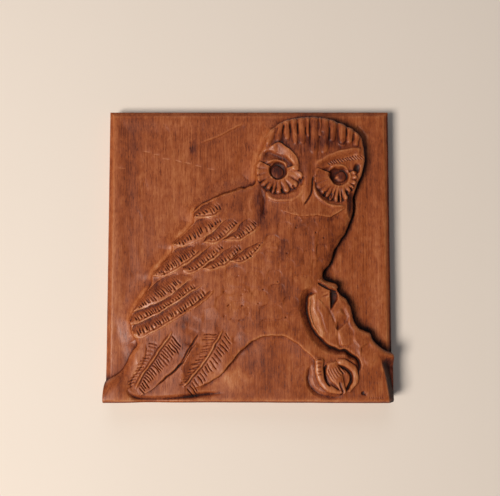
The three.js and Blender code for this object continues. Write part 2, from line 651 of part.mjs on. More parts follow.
function rockForms() {
  const cut = new Line(ROCK_CUT);
  return [
    lip([[58, -23], [61, -25.2], [66, -28.2], [71, -30.4], [76.5, -32.5]],
      { height: 1.8, reach: 5, taper: 0.15 }),
    groove([[59, -24.5], [62, -27], [67, -29.6], [72, -31.6], [77, -33]],
      { depth: 1.6, width: 2.8, taper: 0.15 }),
    area([[70, -31.5], [77, -33], [77.5, -41], [74, -45], [71, -48], [70, -42]],
      { height: -3.2, edge: 2.6 }),
    {
      marks: [0, 2.2, -5].flatMap((offset) => cut.offsetPoints(4, offset)),
      carve(x, z, height) {
        if (!cut.near(x, z, 8)) return height;
        const { distance, share, side } = cut.measure(x, z);
        const ends = ramp(share / 0.07) * ramp((1 - share) / 0.14);
        const reach = side > 0 ? 2.2 : 6.5 - 2.5 * ramp((share - 0.5) / 0.3);
        return height - 4.2 * ends * clamp01(1 - distance / reach) ** (side > 0 ? 1 : 1.35);
      },
    },
    lip([[56.5, -38], [56.8, -46], [60, -53.5], [62.3, -60], [64.4, -68], [68, -74.5]],
      { height: -0.9, reach: 7, side: -1, taper: 0.2, wall: 1.2 }),
    lip([[62, -38], [64.5, -42], [67.5, -46], [70, -51], [73, -58], [75.5, -67]],
      { height: 0.9, reach: 6, side: -1, taper: 0.3, wall: 1.5 }),
  ];
}

// The belly and leg stand over the smooth ground below them
function bellyArch() {
  const arch = new Line([
    [-50, -117], [-40, -113], [-33, -110], [-26, -106], [-20, -100], [-10, -87.5], [0, -77.5], [8, -72.3],
    [17, -70.5], [30, -71], [38, -75], [48, -83], [55, -90], [57.2, -97],
  ]);
  return {
    marks: [0, 0.9].flatMap((offset) => arch.offsetPoints(3.5, offset)),
    carve(x, z, height) {
      if (!arch.near(x, z, 26)) return height;
      const { distance, share, side } = arch.measure(x, z);
      const ends = ramp(share / 0.12) * ramp((1 - share) / 0.05);
      const above = 1.1 * clamp01(distance / 0.9) * (1 - ramp(distance / 14));
      return height + ends * (side > 0 ? above : -1.3 * (1 - ramp(distance / 24)));
    },
  };
}

// Foot: a hollow around it, three toes and the lines between them
function footForms() {
  return [
    groove([[54, -94], [51.5, -101], [51.5, -109], [53.5, -115], [59, -119.5], [66, -122], [74, -123],
      [81, -121]], { depth: 2, width: 7, taper: 0.2, power: 1.2 }),
    finger([[60, -88], [60.3, -95], [60.3, -102], [62, -108.5], [66.5, -114], [72.5, -117], [78, -118.5]],
      { width: 7.2, height: 2.6 }),
    finger([[74, -91.5], [82, -93.3], [88, -97.5], [90.6, -103.5], [89, -110.5], [84.5, -116.5]],
      { width: 6, height: 2.2 }),
    finger([[69, -92], [71, -98], [73.5, -104], [77, -110], [80.3, -117.5]],
      { width: 11, height: 2.4, thinning: 0.6 }),
    groove([[66.5, -93], [65.3, -98], [64.8, -104], [66.3, -109.5], [70.5, -113.5]],
      { depth: 2.2, width: 3, taper: 0.12 }),
    groove([[76.5, -95.5], [82, -98], [86, -102], [87.6, -106.5], [86.6, -111.5], [83.5, -116]],
      { depth: 2.3, width: 3.6, taper: 0.15 }),
    groove([[77, -108.5], [78, -113], [80, -118], [77, -121]], { depth: 1.6, width: 2.4, taper: 0.2 }),
    ...Array.from({ length: 6 }, (_, k) =>
      nick(66.4 + 1.9 * k, -99.5 + 0.8 * k, 0.56, -0.83, 8.5, { depth: 0.7, width: 1.5, pitch: 1.8 }),
    ),
  ];
}

// The hollow along the tail's tip, and the right end of the ground falling to the panel's edge
function groundForms() {
  const chamfer = new Line([[103, -66], [105, -72], [108, -84], [110.5, -92], [114, -97], [115.5, -106],
    [118, -119], [120, -130]]);
  const bottomBevel = 2.8;
  return [
    groove([[-104, -113], [-103, -118.5], [-98, -123], [-90, -125], [-75, -125], [-55, -123.3],
      [-38, -121], [-20, -119.5]], { depth: 2.6, width: 7, taper: 0.22, power: 1.3 }),
    {
      marks: chamfer.offsetPoints(5, 0, 0.05, 0.95),
      carve(x, z, height) {
        if (x < 100 || z > -64 || !contour.holds(x, z)) return height;
        const { distance, side } = chamfer.measure(x, z);
        if (side < 0) return height;
        return Math.max(height - 10.5 * clamp01(distance / 12) ** 0.9, EDGE_THICKNESS + 1);
      },
    },
    {
      marks: [],
      carve: (x, z, height) => height - 3 * clamp01((bottomBevel - HALF_HEIGHT - z) / bottomBevel) ** 1.5,
    },
  ];
}

// The whole front

const bodyForms = [...faceDiscs(), ...eyes(), ...brows(), ...beakAndBib()];
const surfaceForms = [
  ...FEATHERS.map(shingle),
  ...FEATHERS.flatMap(featherNicks),
  ...tailForms(),
  ...rockForms(),
  bellyArch(),
  ...footForms(),
  ...groundForms(),
];
const crown = lobes(TUFTS, { height: 1.9, drop: 0.35 });

function frontHeight(x, z) {
  let height = crown.carve(x, z, figureHeight(x, z));
  for (const form of bodyForms) height = form.carve(x, z, height);
  const body = height;
  for (const form of surfaceForms) height = form.carve(x, z, height, body);
  return Math.max(height, LOWEST_CUT);
}

// Facets of the front: a Delaunay net that starts from the marks of the forms and then takes in, one by
// one, the lattice point that it misses by most. Points are whole numbers of 1/8 mm, so its tests are exact.

class Net {
  constructor(width, height, heightAt) {
    this.heightAt = heightAt;
    this.vertices = [];
    this.triangles = [];
    this.edges = new Map();
    this.lattice = LATTICE_STEP * UNITS_PER_MM;
    this.sampled = new Map();
    const places = [[0, 0], [width, 0], [width, height], [0, height]];
    const corners = places.map(([u, v]) => this.addVertex(u, v));
    this.addTriangle(corners[0], corners[1], corners[2]);
    this.addTriangle(corners[0], corners[2], corners[3]);
  }

  key(a, b) {
    return a * 65536 + b;
  }

  sample(u, v) {
    const key = this.key(u, v);
    if (!this.sampled.has(key)) this.sampled.set(key, this.heightAt(u, v));
    return this.sampled.get(key);
  }

  addVertex(u, v) {
    this.vertices.push([u, v, this.sample(u, v)]);
    return this.vertices.length - 1;
  }

  addTriangle(a, b, c) {
    const id = this.triangles.length;
    const triangle = { corners: [a, b, c], alive: true, error: 0, worst: null };
    this.triangles.push(triangle);
    this.edges.set(this.key(a, b), id);
    this.edges.set(this.key(b, c), id);
    this.edges.set(this.key(c, a), id);
    this.findWorst(triangle);
  }

  turn([ax, ay], [bx, by], [cx, cy]) {
    return (bx - ax) * (cy - ay) - (by - ay) * (cx - ax);
  }

  // The lattice point inside the triangle where its plane is furthest from the true height
  findWorst(triangle) {
    const [a, b, c] = triangle.corners.map((i) => this.vertices[i]);
    const whole = this.turn(a, b, c);
    const step = this.lattice;
    const [u0, u1] = [Math.min(a[0], b[0], c[0]), Math.max(a[0], b[0], c[0])];
    const [v0, v1] = [Math.min(a[1], b[1], c[1]), Math.max(a[1], b[1], c[1])];
    for (let v = Math.ceil(v0 / step) * step; v <= v1; v += step) {
      for (let u = Math.ceil(u0 / step) * step; u <= u1; u += step) {
        const weightA = this.turn([u, v], b, c) / whole;
        const weightB = this.turn([u, v], c, a) / whole;
        const weightC = 1 - weightA - weightB;
        if (weightA < 0 || weightB < 0 || weightC < 0 || this.blocked?.(u, v)) continue;
        const plane = weightA * a[2] + weightB * b[2] + weightC * c[2];
        const error = Math.abs(plane - this.sample(u, v));
        if (error > triangle.error) {
          triangle.error = error;
          triangle.worst = [u, v];
        }
      }
    }
  }

  // True where the point is inside the circle through the triangle's corners
  circleHolds(triangle, [u, v]) {
    const [a, b, c] = triangle.corners.map((i) => [this.vertices[i][0] - u, this.vertices[i][1] - v]);
    const [la, lb, lc] = [a, b, c].map(([x, y]) => x * x + y * y);
    const cross = (p, q) => p[0] * q[1] - p[1] * q[0];
    return la * cross(b, c) - lb * cross(a, c) + lc * cross(a, b) > 0;
  }

  // Walk from triangle to triangle towards the point
  locate(point) {
    let id = this.triangles.length - 1;
    while (!this.triangles[id].alive) id--;
    for (let steps = 0; steps < this.triangles.length; steps++) {
      const { corners } = this.triangles[id];
      const outside = [0, 1, 2].find((k) => {
        const [from, to] = [corners[k], corners[(k + 1) % 3]];
        const beyond = this.turn(this.vertices[from], this.vertices[to], point) < 0;
        return beyond && this.edges.has(this.key(to, from));
      });
      if (outside === undefined) return id;
      id = this.edges.get(this.key(corners[(outside + 1) % 3], corners[outside]));
    }
    return id;
  }

  insert(u, v) {
    const point = [u, v];
    const cavity = new Set([this.locate(point)]);
    const rim = [];
    for (const id of cavity) {
      const { corners } = this.triangles[id];
      for (let k = 0; k < 3; k++) {
        const [from, to] = [corners[k], corners[(k + 1) % 3]];
        const other = this.edges.get(this.key(to, from));
        if (other !== undefined && (cavity.has(other) || this.circleHolds(this.triangles[other], point))) {
          cavity.add(other);
        }
      }
    }
    for (const id of cavity) {
      const triangle = this.triangles[id];
      triangle.alive = false;
      for (let k = 0; k < 3; k++) {
        const [from, to] = [triangle.corners[k], triangle.corners[(k + 1) % 3]];
        const other = this.edges.get(this.key(to, from));
        if (other === undefined || !cavity.has(other)) rim.push([from, to]);
      }
    }
    for (const id of cavity) {
      const { corners } = this.triangles[id];
      for (let k = 0; k < 3; k++) this.edges.delete(this.key(corners[k], corners[(k + 1) % 3]));
    }
    const vertex = this.addVertex(u, v);
    for (const [from, to] of rim) {
      if (this.turn(this.vertices[from], this.vertices[to], point) > 0) this.addTriangle(from, to, vertex);
    }
  }

  refine(mostVertices, smallestError) {
    while (this.vertices.length < mostVertices) {
      let worst = null;
      for (const triangle of this.triangles) {
        if (triangle.alive && triangle.worst && (!worst || triangle.error > worst.error)) worst = triangle;
      }
      if (!worst || worst.error < smallestError) return;
      this.insert(...worst.worst);
      if (this.triangles.length > 4 * mostVertices) this.tidy();
    }
  }

  // Forget the triangles that later points have replaced
  tidy() {
    this.triangles = this.triangles.filter((triangle) => triangle.alive);
    this.edges.clear();
    this.triangles.forEach(({ corners: [a, b, c] }, id) => {
      this.edges.set(this.key(a, b), id);
      this.edges.set(this.key(b, c), id);
      this.edges.set(this.key(c, a), id);
    });
  }
}

// Marks in whole units, none closer to another or to the border than the seed spacing
function seedPoints(width, height) {
  const taken = new Map();
  const seeds = [];
  const gap = SEED_SPACING * UNITS_PER_MM;
  const cell = (value) => Math.floor(value / gap);
  const add = (u, v, onBorder = false) => {
    const inBoard = u >= gap && v >= gap && u <= width - gap && v <= height - gap;
    if (!inBoard && !onBorder) return;
    for (let i = -1; i <= 1; i++) {
      for (let j = -1; j <= 1; j++) {
        const near = taken.get(`${cell(u) + i},${cell(v) + j}`) ?? [];
        if (near.some(([a, b]) => Math.hypot(a - u, b - v) < gap)) return;
      }
    }
    const home = `${cell(u)},${cell(v)}`;
    taken.set(home, [...(taken.get(home) ?? []), [u, v]]);
    seeds.push([u, v]);
  };
  const step = BORDER_STEP * UNITS_PER_MM;
  for (let u = step; u < width; u += step) [0, height].forEach((v) => add(u, v, true));
  for (let v = step; v < height; v += step) [0, width].forEach((u) => add(u, v, true));
  const unit = (x, half) => Math.round((x + half) * UNITS_PER_MM);
  const mark = ([x, z]) => add(unit(x, HALF_WIDTH), unit(z, HALF_HEIGHT));
  const pair = WALL_WIDTH / 2 + 0.05;
  [pair, -pair].forEach((offset) => contour.offsetPoints(3, offset).forEach(mark));
  [crown, ...bodyForms, ...surfaceForms].forEach((form) => form.marks.forEach(mark));
  return seeds;
}

function frontNet() {
  const [width, height] = [PANEL_WIDTH * UNITS_PER_MM, PANEL_HEIGHT * UNITS_PER_MM];
  const toX = (u) => u / UNITS_PER_MM - HALF_WIDTH;
  const toZ = (v) => v / UNITS_PER_MM - HALF_HEIGHT;
  const net = new Net(width, height, (u, v) => frontHeight(toX(u), toZ(v)));
  // no lattice point goes beside the contour's own two rows
  const besideContour = new Map();
  net.blocked = (u, v) => {
    if (u === 0 || v === 0 || u === width || v === height) return false;
    const key = net.key(u, v);
    if (!besideContour.has(key)) besideContour.set(key, contour.measure(toX(u), toZ(v)).distance < 1.3);
    return besideContour.get(key);
  };
  seedPoints(width, height).forEach(([u, v]) => net.insert(u, v));
  net.refine(MOST_VERTICES, SMALLEST_ERROR);
  const vertices = net.vertices.map(([u, v, h]) => [toX(u), -h, toZ(v)]);
  const triangles = net.triangles.filter((triangle) => triangle.alive).map((triangle) => triangle.corners);
  return { vertices, triangles };
}

// Close the front with four sides and a flat back
function closedBlock({ vertices, triangles }) {
  const all = vertices.slice();
  const faces = triangles.slice();
  const back = new Map();
  const backOf = (i) => {
    if (!back.has(i)) {
      back.set(i, all.length);
      all.push([all[i][0], 0, all[i][2]]);
    }
    return back.get(i);
  };
  const sides = [
    { on: ([, , z]) => z === -HALF_HEIGHT, order: ([x]) => x },
    { on: ([x]) => x === HALF_WIDTH, order: ([, , z]) => z },
    { on: ([, , z]) => z === HALF_HEIGHT, order: ([x]) => -x },
    { on: ([x]) => x === -HALF_WIDTH, order: ([, , z]) => -z },
  ];
  // inner corners of the back, in the same order, so that its middle is a few broad faces
  const inset = 12;
  const innerX = [inset - HALF_WIDTH, -30, 50, HALF_WIDTH - inset];
  const innerZ = HALF_HEIGHT - inset;
  const inner = [...innerX.map((x) => [x, 0, -innerZ]), ...innerX.map((x) => [x, 0, innerZ])];
  const first = all.length;
  inner.forEach((point) => all.push(point));
  const cornerPairs = [[0, 3], [3, 7], [7, 4], [4, 0]].map((pair) => pair.map((i) => first + i));
  sides.forEach(({ on, order }, side) => {
    const row = vertices.map((_, i) => i).filter((i) => on(vertices[i]));
    row.sort((i, j) => order(vertices[i]) - order(vertices[j]));
    const [near, far] = cornerPairs[side];
    const middle = Math.floor(row.length / 2);
    for (let k = 0; k + 1 < row.length; k++) {
      const [a, b] = [row[k], row[k + 1]];
      const [backA, backB] = [backOf(a), backOf(b)];
      faces.push([a, backB, b], [a, backA, backB]);
      faces.push([backA, k < middle ? near : far, backB]);
    }
    // the inner rim of the top and bottom passes through the strips' corners
    const rimOf = { 0: [0, 1, 2, 3], 2: [7, 6, 5, 4] }[side]?.map((i) => first + i) ?? [near, far];
    for (let k = 0; k + 1 < rimOf.length; k++) faces.push([backOf(row[middle]), rimOf[k], rimOf[k + 1]]);
  });
  for (let k = 0; k < 3; k++) {
    const [a, b, c, d] = [first + k, first + k + 1, first + 4 + k + 1, first + 4 + k];
    faces.push([a, c, b], [a, d, c]);
  }
  return { vertices: all, faces };
}

function plaqueGeometry() {
  const { vertices, faces } = closedBlock(frontNet());
  const geometry = new THREE.BufferGeometry();
  geometry.setAttribute("position", new THREE.Float32BufferAttribute(vertices.flat(), 3));
  geometry.setIndex(faces.flat());
  geometry.computeVertexNormals();
  return geometry;
}

const wood = new THREE.MeshStandardMaterial({ color: 0x96552d, roughness: 0.45, metalness: 0 });
const plaque = new THREE.Mesh(plaqueGeometry(), wood);
plaque.name = "owl_plaque";

const group = new THREE.Group();
group.add(plaque);

export default group;
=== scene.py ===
"""A carved owl wall plaque: its fine relief and wood finish, a pale wall, soft studio light and the camera.

The carving is worked out in millimetres, as heights above the plaque's back over a grid of x (right) and z (up).
It becomes metres where the mesh is made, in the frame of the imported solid.
"""

import logging
import math
from dataclasses import dataclass
from enum import Enum
from typing import Callable, Optional, Sequence, Union

import bpy
import numpy as np
from mathutils import Matrix, Vector


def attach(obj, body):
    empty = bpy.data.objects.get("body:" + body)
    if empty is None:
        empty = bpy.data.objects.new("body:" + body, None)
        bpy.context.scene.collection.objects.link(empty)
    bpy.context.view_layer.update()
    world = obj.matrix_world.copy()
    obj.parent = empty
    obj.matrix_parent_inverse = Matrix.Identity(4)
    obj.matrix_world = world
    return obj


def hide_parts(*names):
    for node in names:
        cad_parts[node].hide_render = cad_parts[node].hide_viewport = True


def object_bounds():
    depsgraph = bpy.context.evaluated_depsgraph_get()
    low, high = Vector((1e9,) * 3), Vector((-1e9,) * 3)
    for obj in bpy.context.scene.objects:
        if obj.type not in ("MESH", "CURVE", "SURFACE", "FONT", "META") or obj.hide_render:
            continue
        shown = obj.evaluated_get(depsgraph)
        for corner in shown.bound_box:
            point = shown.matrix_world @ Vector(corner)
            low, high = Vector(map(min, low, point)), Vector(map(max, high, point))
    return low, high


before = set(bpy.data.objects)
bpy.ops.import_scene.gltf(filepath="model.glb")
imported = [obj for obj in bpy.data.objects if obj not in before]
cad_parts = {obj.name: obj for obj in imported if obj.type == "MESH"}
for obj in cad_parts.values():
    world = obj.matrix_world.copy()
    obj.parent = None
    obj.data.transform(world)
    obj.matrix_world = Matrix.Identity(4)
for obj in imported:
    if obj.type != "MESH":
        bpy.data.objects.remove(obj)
CAD_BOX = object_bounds()
LOG = logging.getLogger("owl_plaque")

MM = 0.001
SAMPLE_STEP = 1.2
Array = np.ndarray
Point = tuple[float, float]
Colour = tuple[float, float, float]
Window = tuple[slice, slice]


# Small measures


def ramp(t: Array) -> Array:
    """Smooth rise from 0 to 1: three t squared less two t cubed.

    Args:
        t: Share of the rise, any size.

    Returns:
        The rise, 0 below and 1 above the ends.
    """
    u = np.clip(t, 0.0, 1.0)
    return u * u * (3.0 - 2.0 * u)


def quarter_round(t: Array) -> Array:
    """Rise of a quarter circle from 0 to 1: the root of one less the square of one less t.

    Args:
        t: Share of the rise, any size.

    Returns:
        The rise, steep at first and level at its end.
    """
    return np.sqrt(1.0 - (1.0 - np.clip(t, 0.0, 1.0)) ** 2)


def fade_ends(share: Array, taper: float) -> Array:
    """Full along a line and running out at both of its ends.

    Args:
        share: Share of the line's length.
        taper: Share of the length that each end takes to run out.

    Returns:
        1 along the line, falling to 0 at its ends.
    """
    return ramp(np.minimum(share, 1.0 - share) / taper) if taper > 0 else np.ones_like(share)


def sample(table: Array, rows: Array, columns: Array) -> Array:
    """Values of a grid between its points, by the four nearest of them.

    Args:
        table: The grid of values.
        rows: Places along its rows, in cells.
        columns: Places along its columns, in cells.

    Returns:
        The values.
    """
    v = np.clip(rows, 0, table.shape[0] - 1.001)
    u = np.clip(columns, 0, table.shape[1] - 1.001)
    i, j = v.astype(int), u.astype(int)
    v, u = v - i, u - j
    low = table[i, j] * (1 - u) + table[i, j + 1] * u
    high = table[i + 1, j] * (1 - u) + table[i + 1, j + 1] * u
    return low * (1 - v) + high * v


def srgb(red: int, green: int, blue: int) -> Colour:
    """A colour as a screen shows it, turned into linear light.

    Args:
        red: Red, 0 to 255.
        green: Green, 0 to 255.
        blue: Blue, 0 to 255.

    Returns:
        The linear colour.
    """
    shares = [value / 255.0 for value in (red, green, blue)]
    return tuple(s / 12.92 if s <= 0.04045 else ((s + 0.055) / 1.055) ** 2.4 for s in shares)


# Lines of the drawing


def smooth_through(points: Array, closed: bool, step: float) -> Array:
    """Cubic curve through the points, its tangents half the chord of the neighbours and never over 1.5 chords.

    Args:
        points: Points, one a row, with any further values carried along.
        closed: True where the last point joins the first.
        step: Spacing of the samples.

    Returns:
        The samples, one a row.
    """
    if closed:
        padded = np.vstack([points[-1:], points, points[:2]])
    else:
        padded = np.vstack([2 * points[0] - points[1], points, 2 * points[-1] - points[-2]])
    rows = []
    for before, start, end, after in zip(padded[:-3], padded[1:-2], padded[2:-1], padded[3:]):
        chord = float(np.hypot(*(end - start)[:2])) + 1e-9
        tangents = []
        for tangent in ((end - before) / 2, (after - start) / 2):
            size = float(np.hypot(*tangent[:2]))
            tangents.append(tangent * min(1.0, 1.5 * chord / max(size, 1e-9)))
        t = np.linspace(0, 1, max(1, math.ceil(chord / step)), endpoint=False)[:, None]
        rows.append(
            start * (2 * t**3 - 3 * t**2 + 1)
            + tangents[0] * (t**3 - 2 * t**2 + t)
            + end * (3 * t**2 - 2 * t**3)
            + tangents[1] * (t**3 - t**2)
        )
    samples = np.vstack(rows)
    return samples if closed else np.vstack([samples, points[-1:]])


class Stroke:
    """A line of the drawing, smooth where it has more than two points."""

    def __init__(self, points: Sequence[Sequence[float]], closed: bool = False, smooth: bool = True) -> None:
        """Sample the line.

        Args:
            points: Points x, z and any values carried along the line.
            closed: True where the last point joins the first.
            smooth: False where the points are joined by straight pieces.
        """
        table = np.asarray(points, float)
        self.points = smooth_through(table, closed, SAMPLE_STEP) if smooth and len(table) > 2 else table
        self.closed = closed
        ring = np.vstack([self.points, self.points[:1]]) if closed else self.points
        self.starts = ring[:-1, :2]
        self.ends = ring[1:, :2]
        self.lengths = np.hypot(*(self.ends - self.starts).T)
        self.run = np.concatenate([[0.0], np.cumsum(self.lengths)])
        self.length = float(self.run[-1])
        self.ring = ring

    def at(self, shares: Array) -> tuple[Array, Array]:
        """Points and directions at shares of the length.

        Args:
            shares: Shares of the length.

        Returns:
            The points and the unit directions there, one a row.
        """
        here = np.clip(np.asarray(shares, float), 0, 1) * self.length
        low, high = np.clip([here - 0.6, here + 0.6], 0, self.length)
        place, behind, ahead = (
            np.stack([np.interp(s, self.run, self.ring[:, k]) for k in (0, 1)], axis=-1) for s in (here, low, high)
        )
        direction = ahead - behind
        return place, direction / (np.linalg.norm(direction, axis=-1, keepdims=True) + 1e-9)

    def value(self, column: int, share: Array) -> Array:
        """One of the carried values at shares of the length.

        Args:
            column: Column of the value, 2 for the first.
            share: Shares of the length.

        Returns:
            The values.
        """
        return np.interp(share * self.length, self.run, self.ring[:, column])

    def beside(self, offset: float, start: float = 0.0, end: float = 1.0) -> "Stroke":
        """The line moved sideways, to the left of its run where the offset is positive.

        Args:
            offset: Sideways move.
            start: Share of the length where it starts.
            end: Share of the length where it ends.

        Returns:
            The moved line.
        """
        count = max(3, round(self.length * (end - start) / 4.0))
        place, direction = self.at(np.linspace(start, end, count))
        return Stroke(place + offset * np.stack([-direction[:, 1], direction[:, 0]], axis=1))


@dataclass
class Near:
    """What a line measures over the part of the grid that it reaches."""

    window: Window
    distance: Array
    share: Array
    side: Array


class Relief:
    """Heights of the carved front over a grid, with the ways to measure and cut it."""

    def __init__(self, half_width: float, half_height: float, cells: tuple[int, int]) -> None:
        """Lay out the grid.

        Args:
            half_width: Half of the width that the grid covers.
            half_height: Half of the height that it covers.
            cells: Number of cells across and up.
        """
        self.xs = np.linspace(-half_width, half_width, cells[0] + 1)
        self.zs = np.linspace(-half_height, half_height, cells[1] + 1)
        self.x, self.z = np.meshgrid(self.xs, self.zs)
        self.height = np.zeros_like(self.x)
        self.body = self.height
        self.inward = self.height
        self.tone = np.zeros_like(self.x)
        self.step = float(self.xs[1] - self.xs[0])

    def window(self, low: Sequence[float], high: Sequence[float]) -> Window:
        """The rows and columns that a box takes in.

        Args:
            low: Lowest x and z.
            high: Highest x and z.

        Returns:
            The slices of rows and columns.
        """
        columns = np.searchsorted(self.xs, [low[0], high[0]])
        rows = np.searchsorted(self.zs, [low[1], high[1]])
        return slice(max(rows[0] - 1, 0), rows[1] + 1), slice(max(columns[0] - 1, 0), columns[1] + 1)

    def around(self, line: Stroke, margin: float) -> Window:
        """The window around a line.

        Args:
            line: The line.
            margin: Margin around its box.

        Returns:
            The slices of rows and columns.
        """
        flat = line.points[:, :2]
        return self.window(flat.min(0) - margin, flat.max(0) + margin)

    def measure(self, line: Stroke, reach: float) -> Near:
        """Distance to the nearest piece of a line, share of its length there, and side.

        Args:
            line: The line.
            reach: Distance up to which it is measured. Further points get this distance.

        Returns:
            The measures. The side is 1 on the left of the line's run, and -1 on its right and beyond the reach.
        """
        window = self.around(line, reach)
        rows, columns = window
        shape = self.x[window].shape
        best = np.full(shape, reach * reach)
        share = np.zeros(shape)
        side = -np.ones(shape)
        xs, zs = self.xs[columns], self.zs[rows]
        for a, b, length, start in zip(line.starts, line.ends, line.lengths, line.run):
            j = slice(*np.searchsorted(xs, [min(a[0], b[0]) - reach, max(a[0], b[0]) + reach]))
            i = slice(*np.searchsorted(zs, [min(a[1], b[1]) - reach, max(a[1], b[1]) + reach]))
            px, pz = xs[None, j] - a[0], zs[i, None] - a[1]
            dx, dz = b - a
            t = np.clip((px * dx + pz * dz) / max(length * length, 1e-12), 0, 1)
            squared = (px - t * dx) ** 2 + (pz - t * dz) ** 2
            closer = squared < best[i, j]
            best[i, j] = np.where(closer, squared, best[i, j])
            share[i, j] = np.where(closer, (start + t * length) / line.length, share[i, j])
            side[i, j] = np.where(closer, np.where(dx * pz - dz * px >= 0, 1.0, -1.0), side[i, j])
        return Near(window, np.sqrt(best), share, side)

    def inside(self, line: Stroke, window: Window) -> Array:
        """Which points of a window a closed line holds, by the crossings of a level ray.

        Args:
            line: The closed line.
            window: The window.

        Returns:
            True inside.
        """
        xs, zs = self.xs[window[1]], self.zs[window[0]]
        held = np.zeros((len(zs), len(xs)), bool)
        for a, b in zip(line.starts, line.ends):
            i = slice(*np.searchsorted(zs, sorted((a[1], b[1]))))
            if i.start < i.stop:
                crossing = a[0] + (b[0] - a[0]) * (zs[i] - a[1]) / (b[1] - a[1])
                held[i] ^= xs[None, :] < crossing[:, None]
        return held

    def blurred(self, values: Array, radius: float) -> Array:
        """Soft mean of values: three passes of a running mean along both directions.

        Args:
            values: Values over the whole grid.
            radius: Reach of one running mean.

        Returns:
            The blurred values.
        """
        size = max(1, round(radius / self.step))
        result = values
        for _ in range(3):
            for axis in (0, 1):
                pad = [(size, size) if k == axis else (0, 0) for k in (0, 1)]
                sums = np.cumsum(np.pad(result, pad, mode="edge"), axis=axis)
                sums = np.insert(sums, 0, 0.0, axis=axis)
                span = 2 * size + 1
                count = result.shape[axis]
                ahead = np.take(sums, range(span, span + count), axis=axis)
                result = (ahead - np.take(sums, range(count), axis=axis)) / span
        return result

    def openness(self, distances: Sequence[float], directions: int = 12) -> Array:
        """Share of the sky that a point sees: one less the mean sine of the horizon around it.

        Args:
            distances: Distances at which the horizon is looked for.
            directions: Number of directions around.

        Returns:
            1 in the open, towards 0 in a deep cut.
        """
        total = np.zeros_like(self.height)
        pad = math.ceil(max(distances) / self.step) + 1
        padded = np.pad(self.height, pad, mode="edge")
        rows, columns = self.height.shape
        for angle in np.arange(directions) * 2 * math.pi / directions:
            horizon = np.zeros_like(self.height)
            for distance in distances:
                i = pad + round(distance * math.sin(angle) / self.step)
                j = pad + round(distance * math.cos(angle) / self.step)
                rise = (padded[i : i + rows, j : j + columns] - self.height) / distance
                horizon = np.maximum(horizon, rise)
            total += horizon / np.sqrt(1 + horizon**2)
        return 1 - total / directions


# Cuts and raised forms


@dataclass(frozen=True)
class Groove:
    """V cut along a line, running out at its ends: the depth falls off with the distance to a power."""

    points: Sequence[Point]
    depth: float
    width: float
    taper: float = 0.25
    power: float = 1.0

    def cut(self, relief: Relief) -> None:
        """Cut the groove.

        Args:
            relief: The carved front.
        """
        near = relief.measure(Stroke(self.points), self.width / 2)
        ends = fade_ends(near.share, self.taper)
        half = self.width / 2 * (0.4 + 0.6 * ends)
        relief.height[near.window] -= self.depth * ends * np.clip(1 - near.distance / half, 0, 1) ** self.power


@dataclass(frozen=True)
class Ridge:
    """Rounded strip standing up along a line: a smooth ramp of the distance."""

    points: Sequence[Point]
    rise: float
    width: float
    taper: float = 0.2

    def cut(self, relief: Relief) -> None:
        """Raise the ridge.

        Args:
            relief: The carved front.
        """
        near = relief.measure(Stroke(self.points), self.width / 2)
        profile = 1 - ramp(near.distance / (self.width / 2))
        relief.height[near.window] += self.rise * fade_ends(near.share, self.taper) * profile


@dataclass(frozen=True)
class Lip:
    """Raised on one side of a line (1 left, -1 right), sharp at the line and fading over the reach."""

    points: Sequence[Point]
    rise: float
    reach: float
    side: int = 1
    taper: float = 0.1
    wall: float = 0.8

    def cut(self, relief: Relief) -> None:
        """Raise the lip.

        Args:
            relief: The carved front.
        """
        near = relief.measure(Stroke(self.points), self.reach)
        across = near.distance * near.side * self.side
        profile = np.clip(across / self.wall, 0, 1) * (1 - ramp(across / self.reach))
        relief.height[near.window] += self.rise * fade_ends(near.share, self.taper) * profile


@dataclass(frozen=True)
class Dome:
    """Oval swelling, a hollow where the rise is negative: one less the squared distances, to a power."""

    x: float
    z: float
    rx: float
    rz: float
    rise: float
    power: float = 1.0
    turn: float = 0.0

    def cut(self, relief: Relief) -> None:
        """Raise or sink the oval.

        Args:
            relief: The carved front.
        """
        radius = max(self.rx, self.rz)
        window = relief.window((self.x - radius, self.z - radius), (self.x + radius, self.z + radius))
        px, pz = relief.x[window] - self.x, relief.z[window] - self.z
        c, s = math.cos(math.radians(self.turn)), math.sin(math.radians(self.turn))
        squared = ((px * c + pz * s) / self.rx) ** 2 + ((pz * c - px * s) / self.rz) ** 2
        relief.height[window] += self.rise * np.clip(1 - squared, 0, 1) ** self.power


@dataclass(frozen=True)
class Area:
    """Inside of a closed outline moved up or down, with an edge of the given width."""

    points: Sequence[Point]
    rise: float
    edge: float
    profile: Callable[[Array], Array] = ramp

    def cut(self, relief: Relief) -> None:
        """Move the area.

        Args:
            relief: The carved front.
        """
        line = Stroke(self.points, closed=True)
        near = relief.measure(line, self.edge)
        held = relief.inside(line, near.window)
        relief.height[near.window] += np.where(held, self.rise * self.profile(near.distance / self.edge), 0.0)


@dataclass(frozen=True)
class Slope:
    """Inside of a closed outline tilted as a plane: so much to the right and so much up, from its own middle."""

    points: Sequence[Point]
    right: float
    up: float
    edge: float
    rise: float = 0.0

    def cut(self, relief: Relief) -> None:
        """Tilt the area.

        Args:
            relief: The carved front.
        """
        line = Stroke(self.points, closed=True)
        near = relief.measure(line, self.edge)
        held = relief.inside(line, near.window)
        middle = line.points[:, :2].mean(0)
        plane = self.rise + self.right * (relief.x[near.window] - middle[0])
        plane += self.up * (relief.z[near.window] - middle[1])
        relief.height[near.window] += np.where(held, plane * ramp(near.distance / self.edge), 0.0)


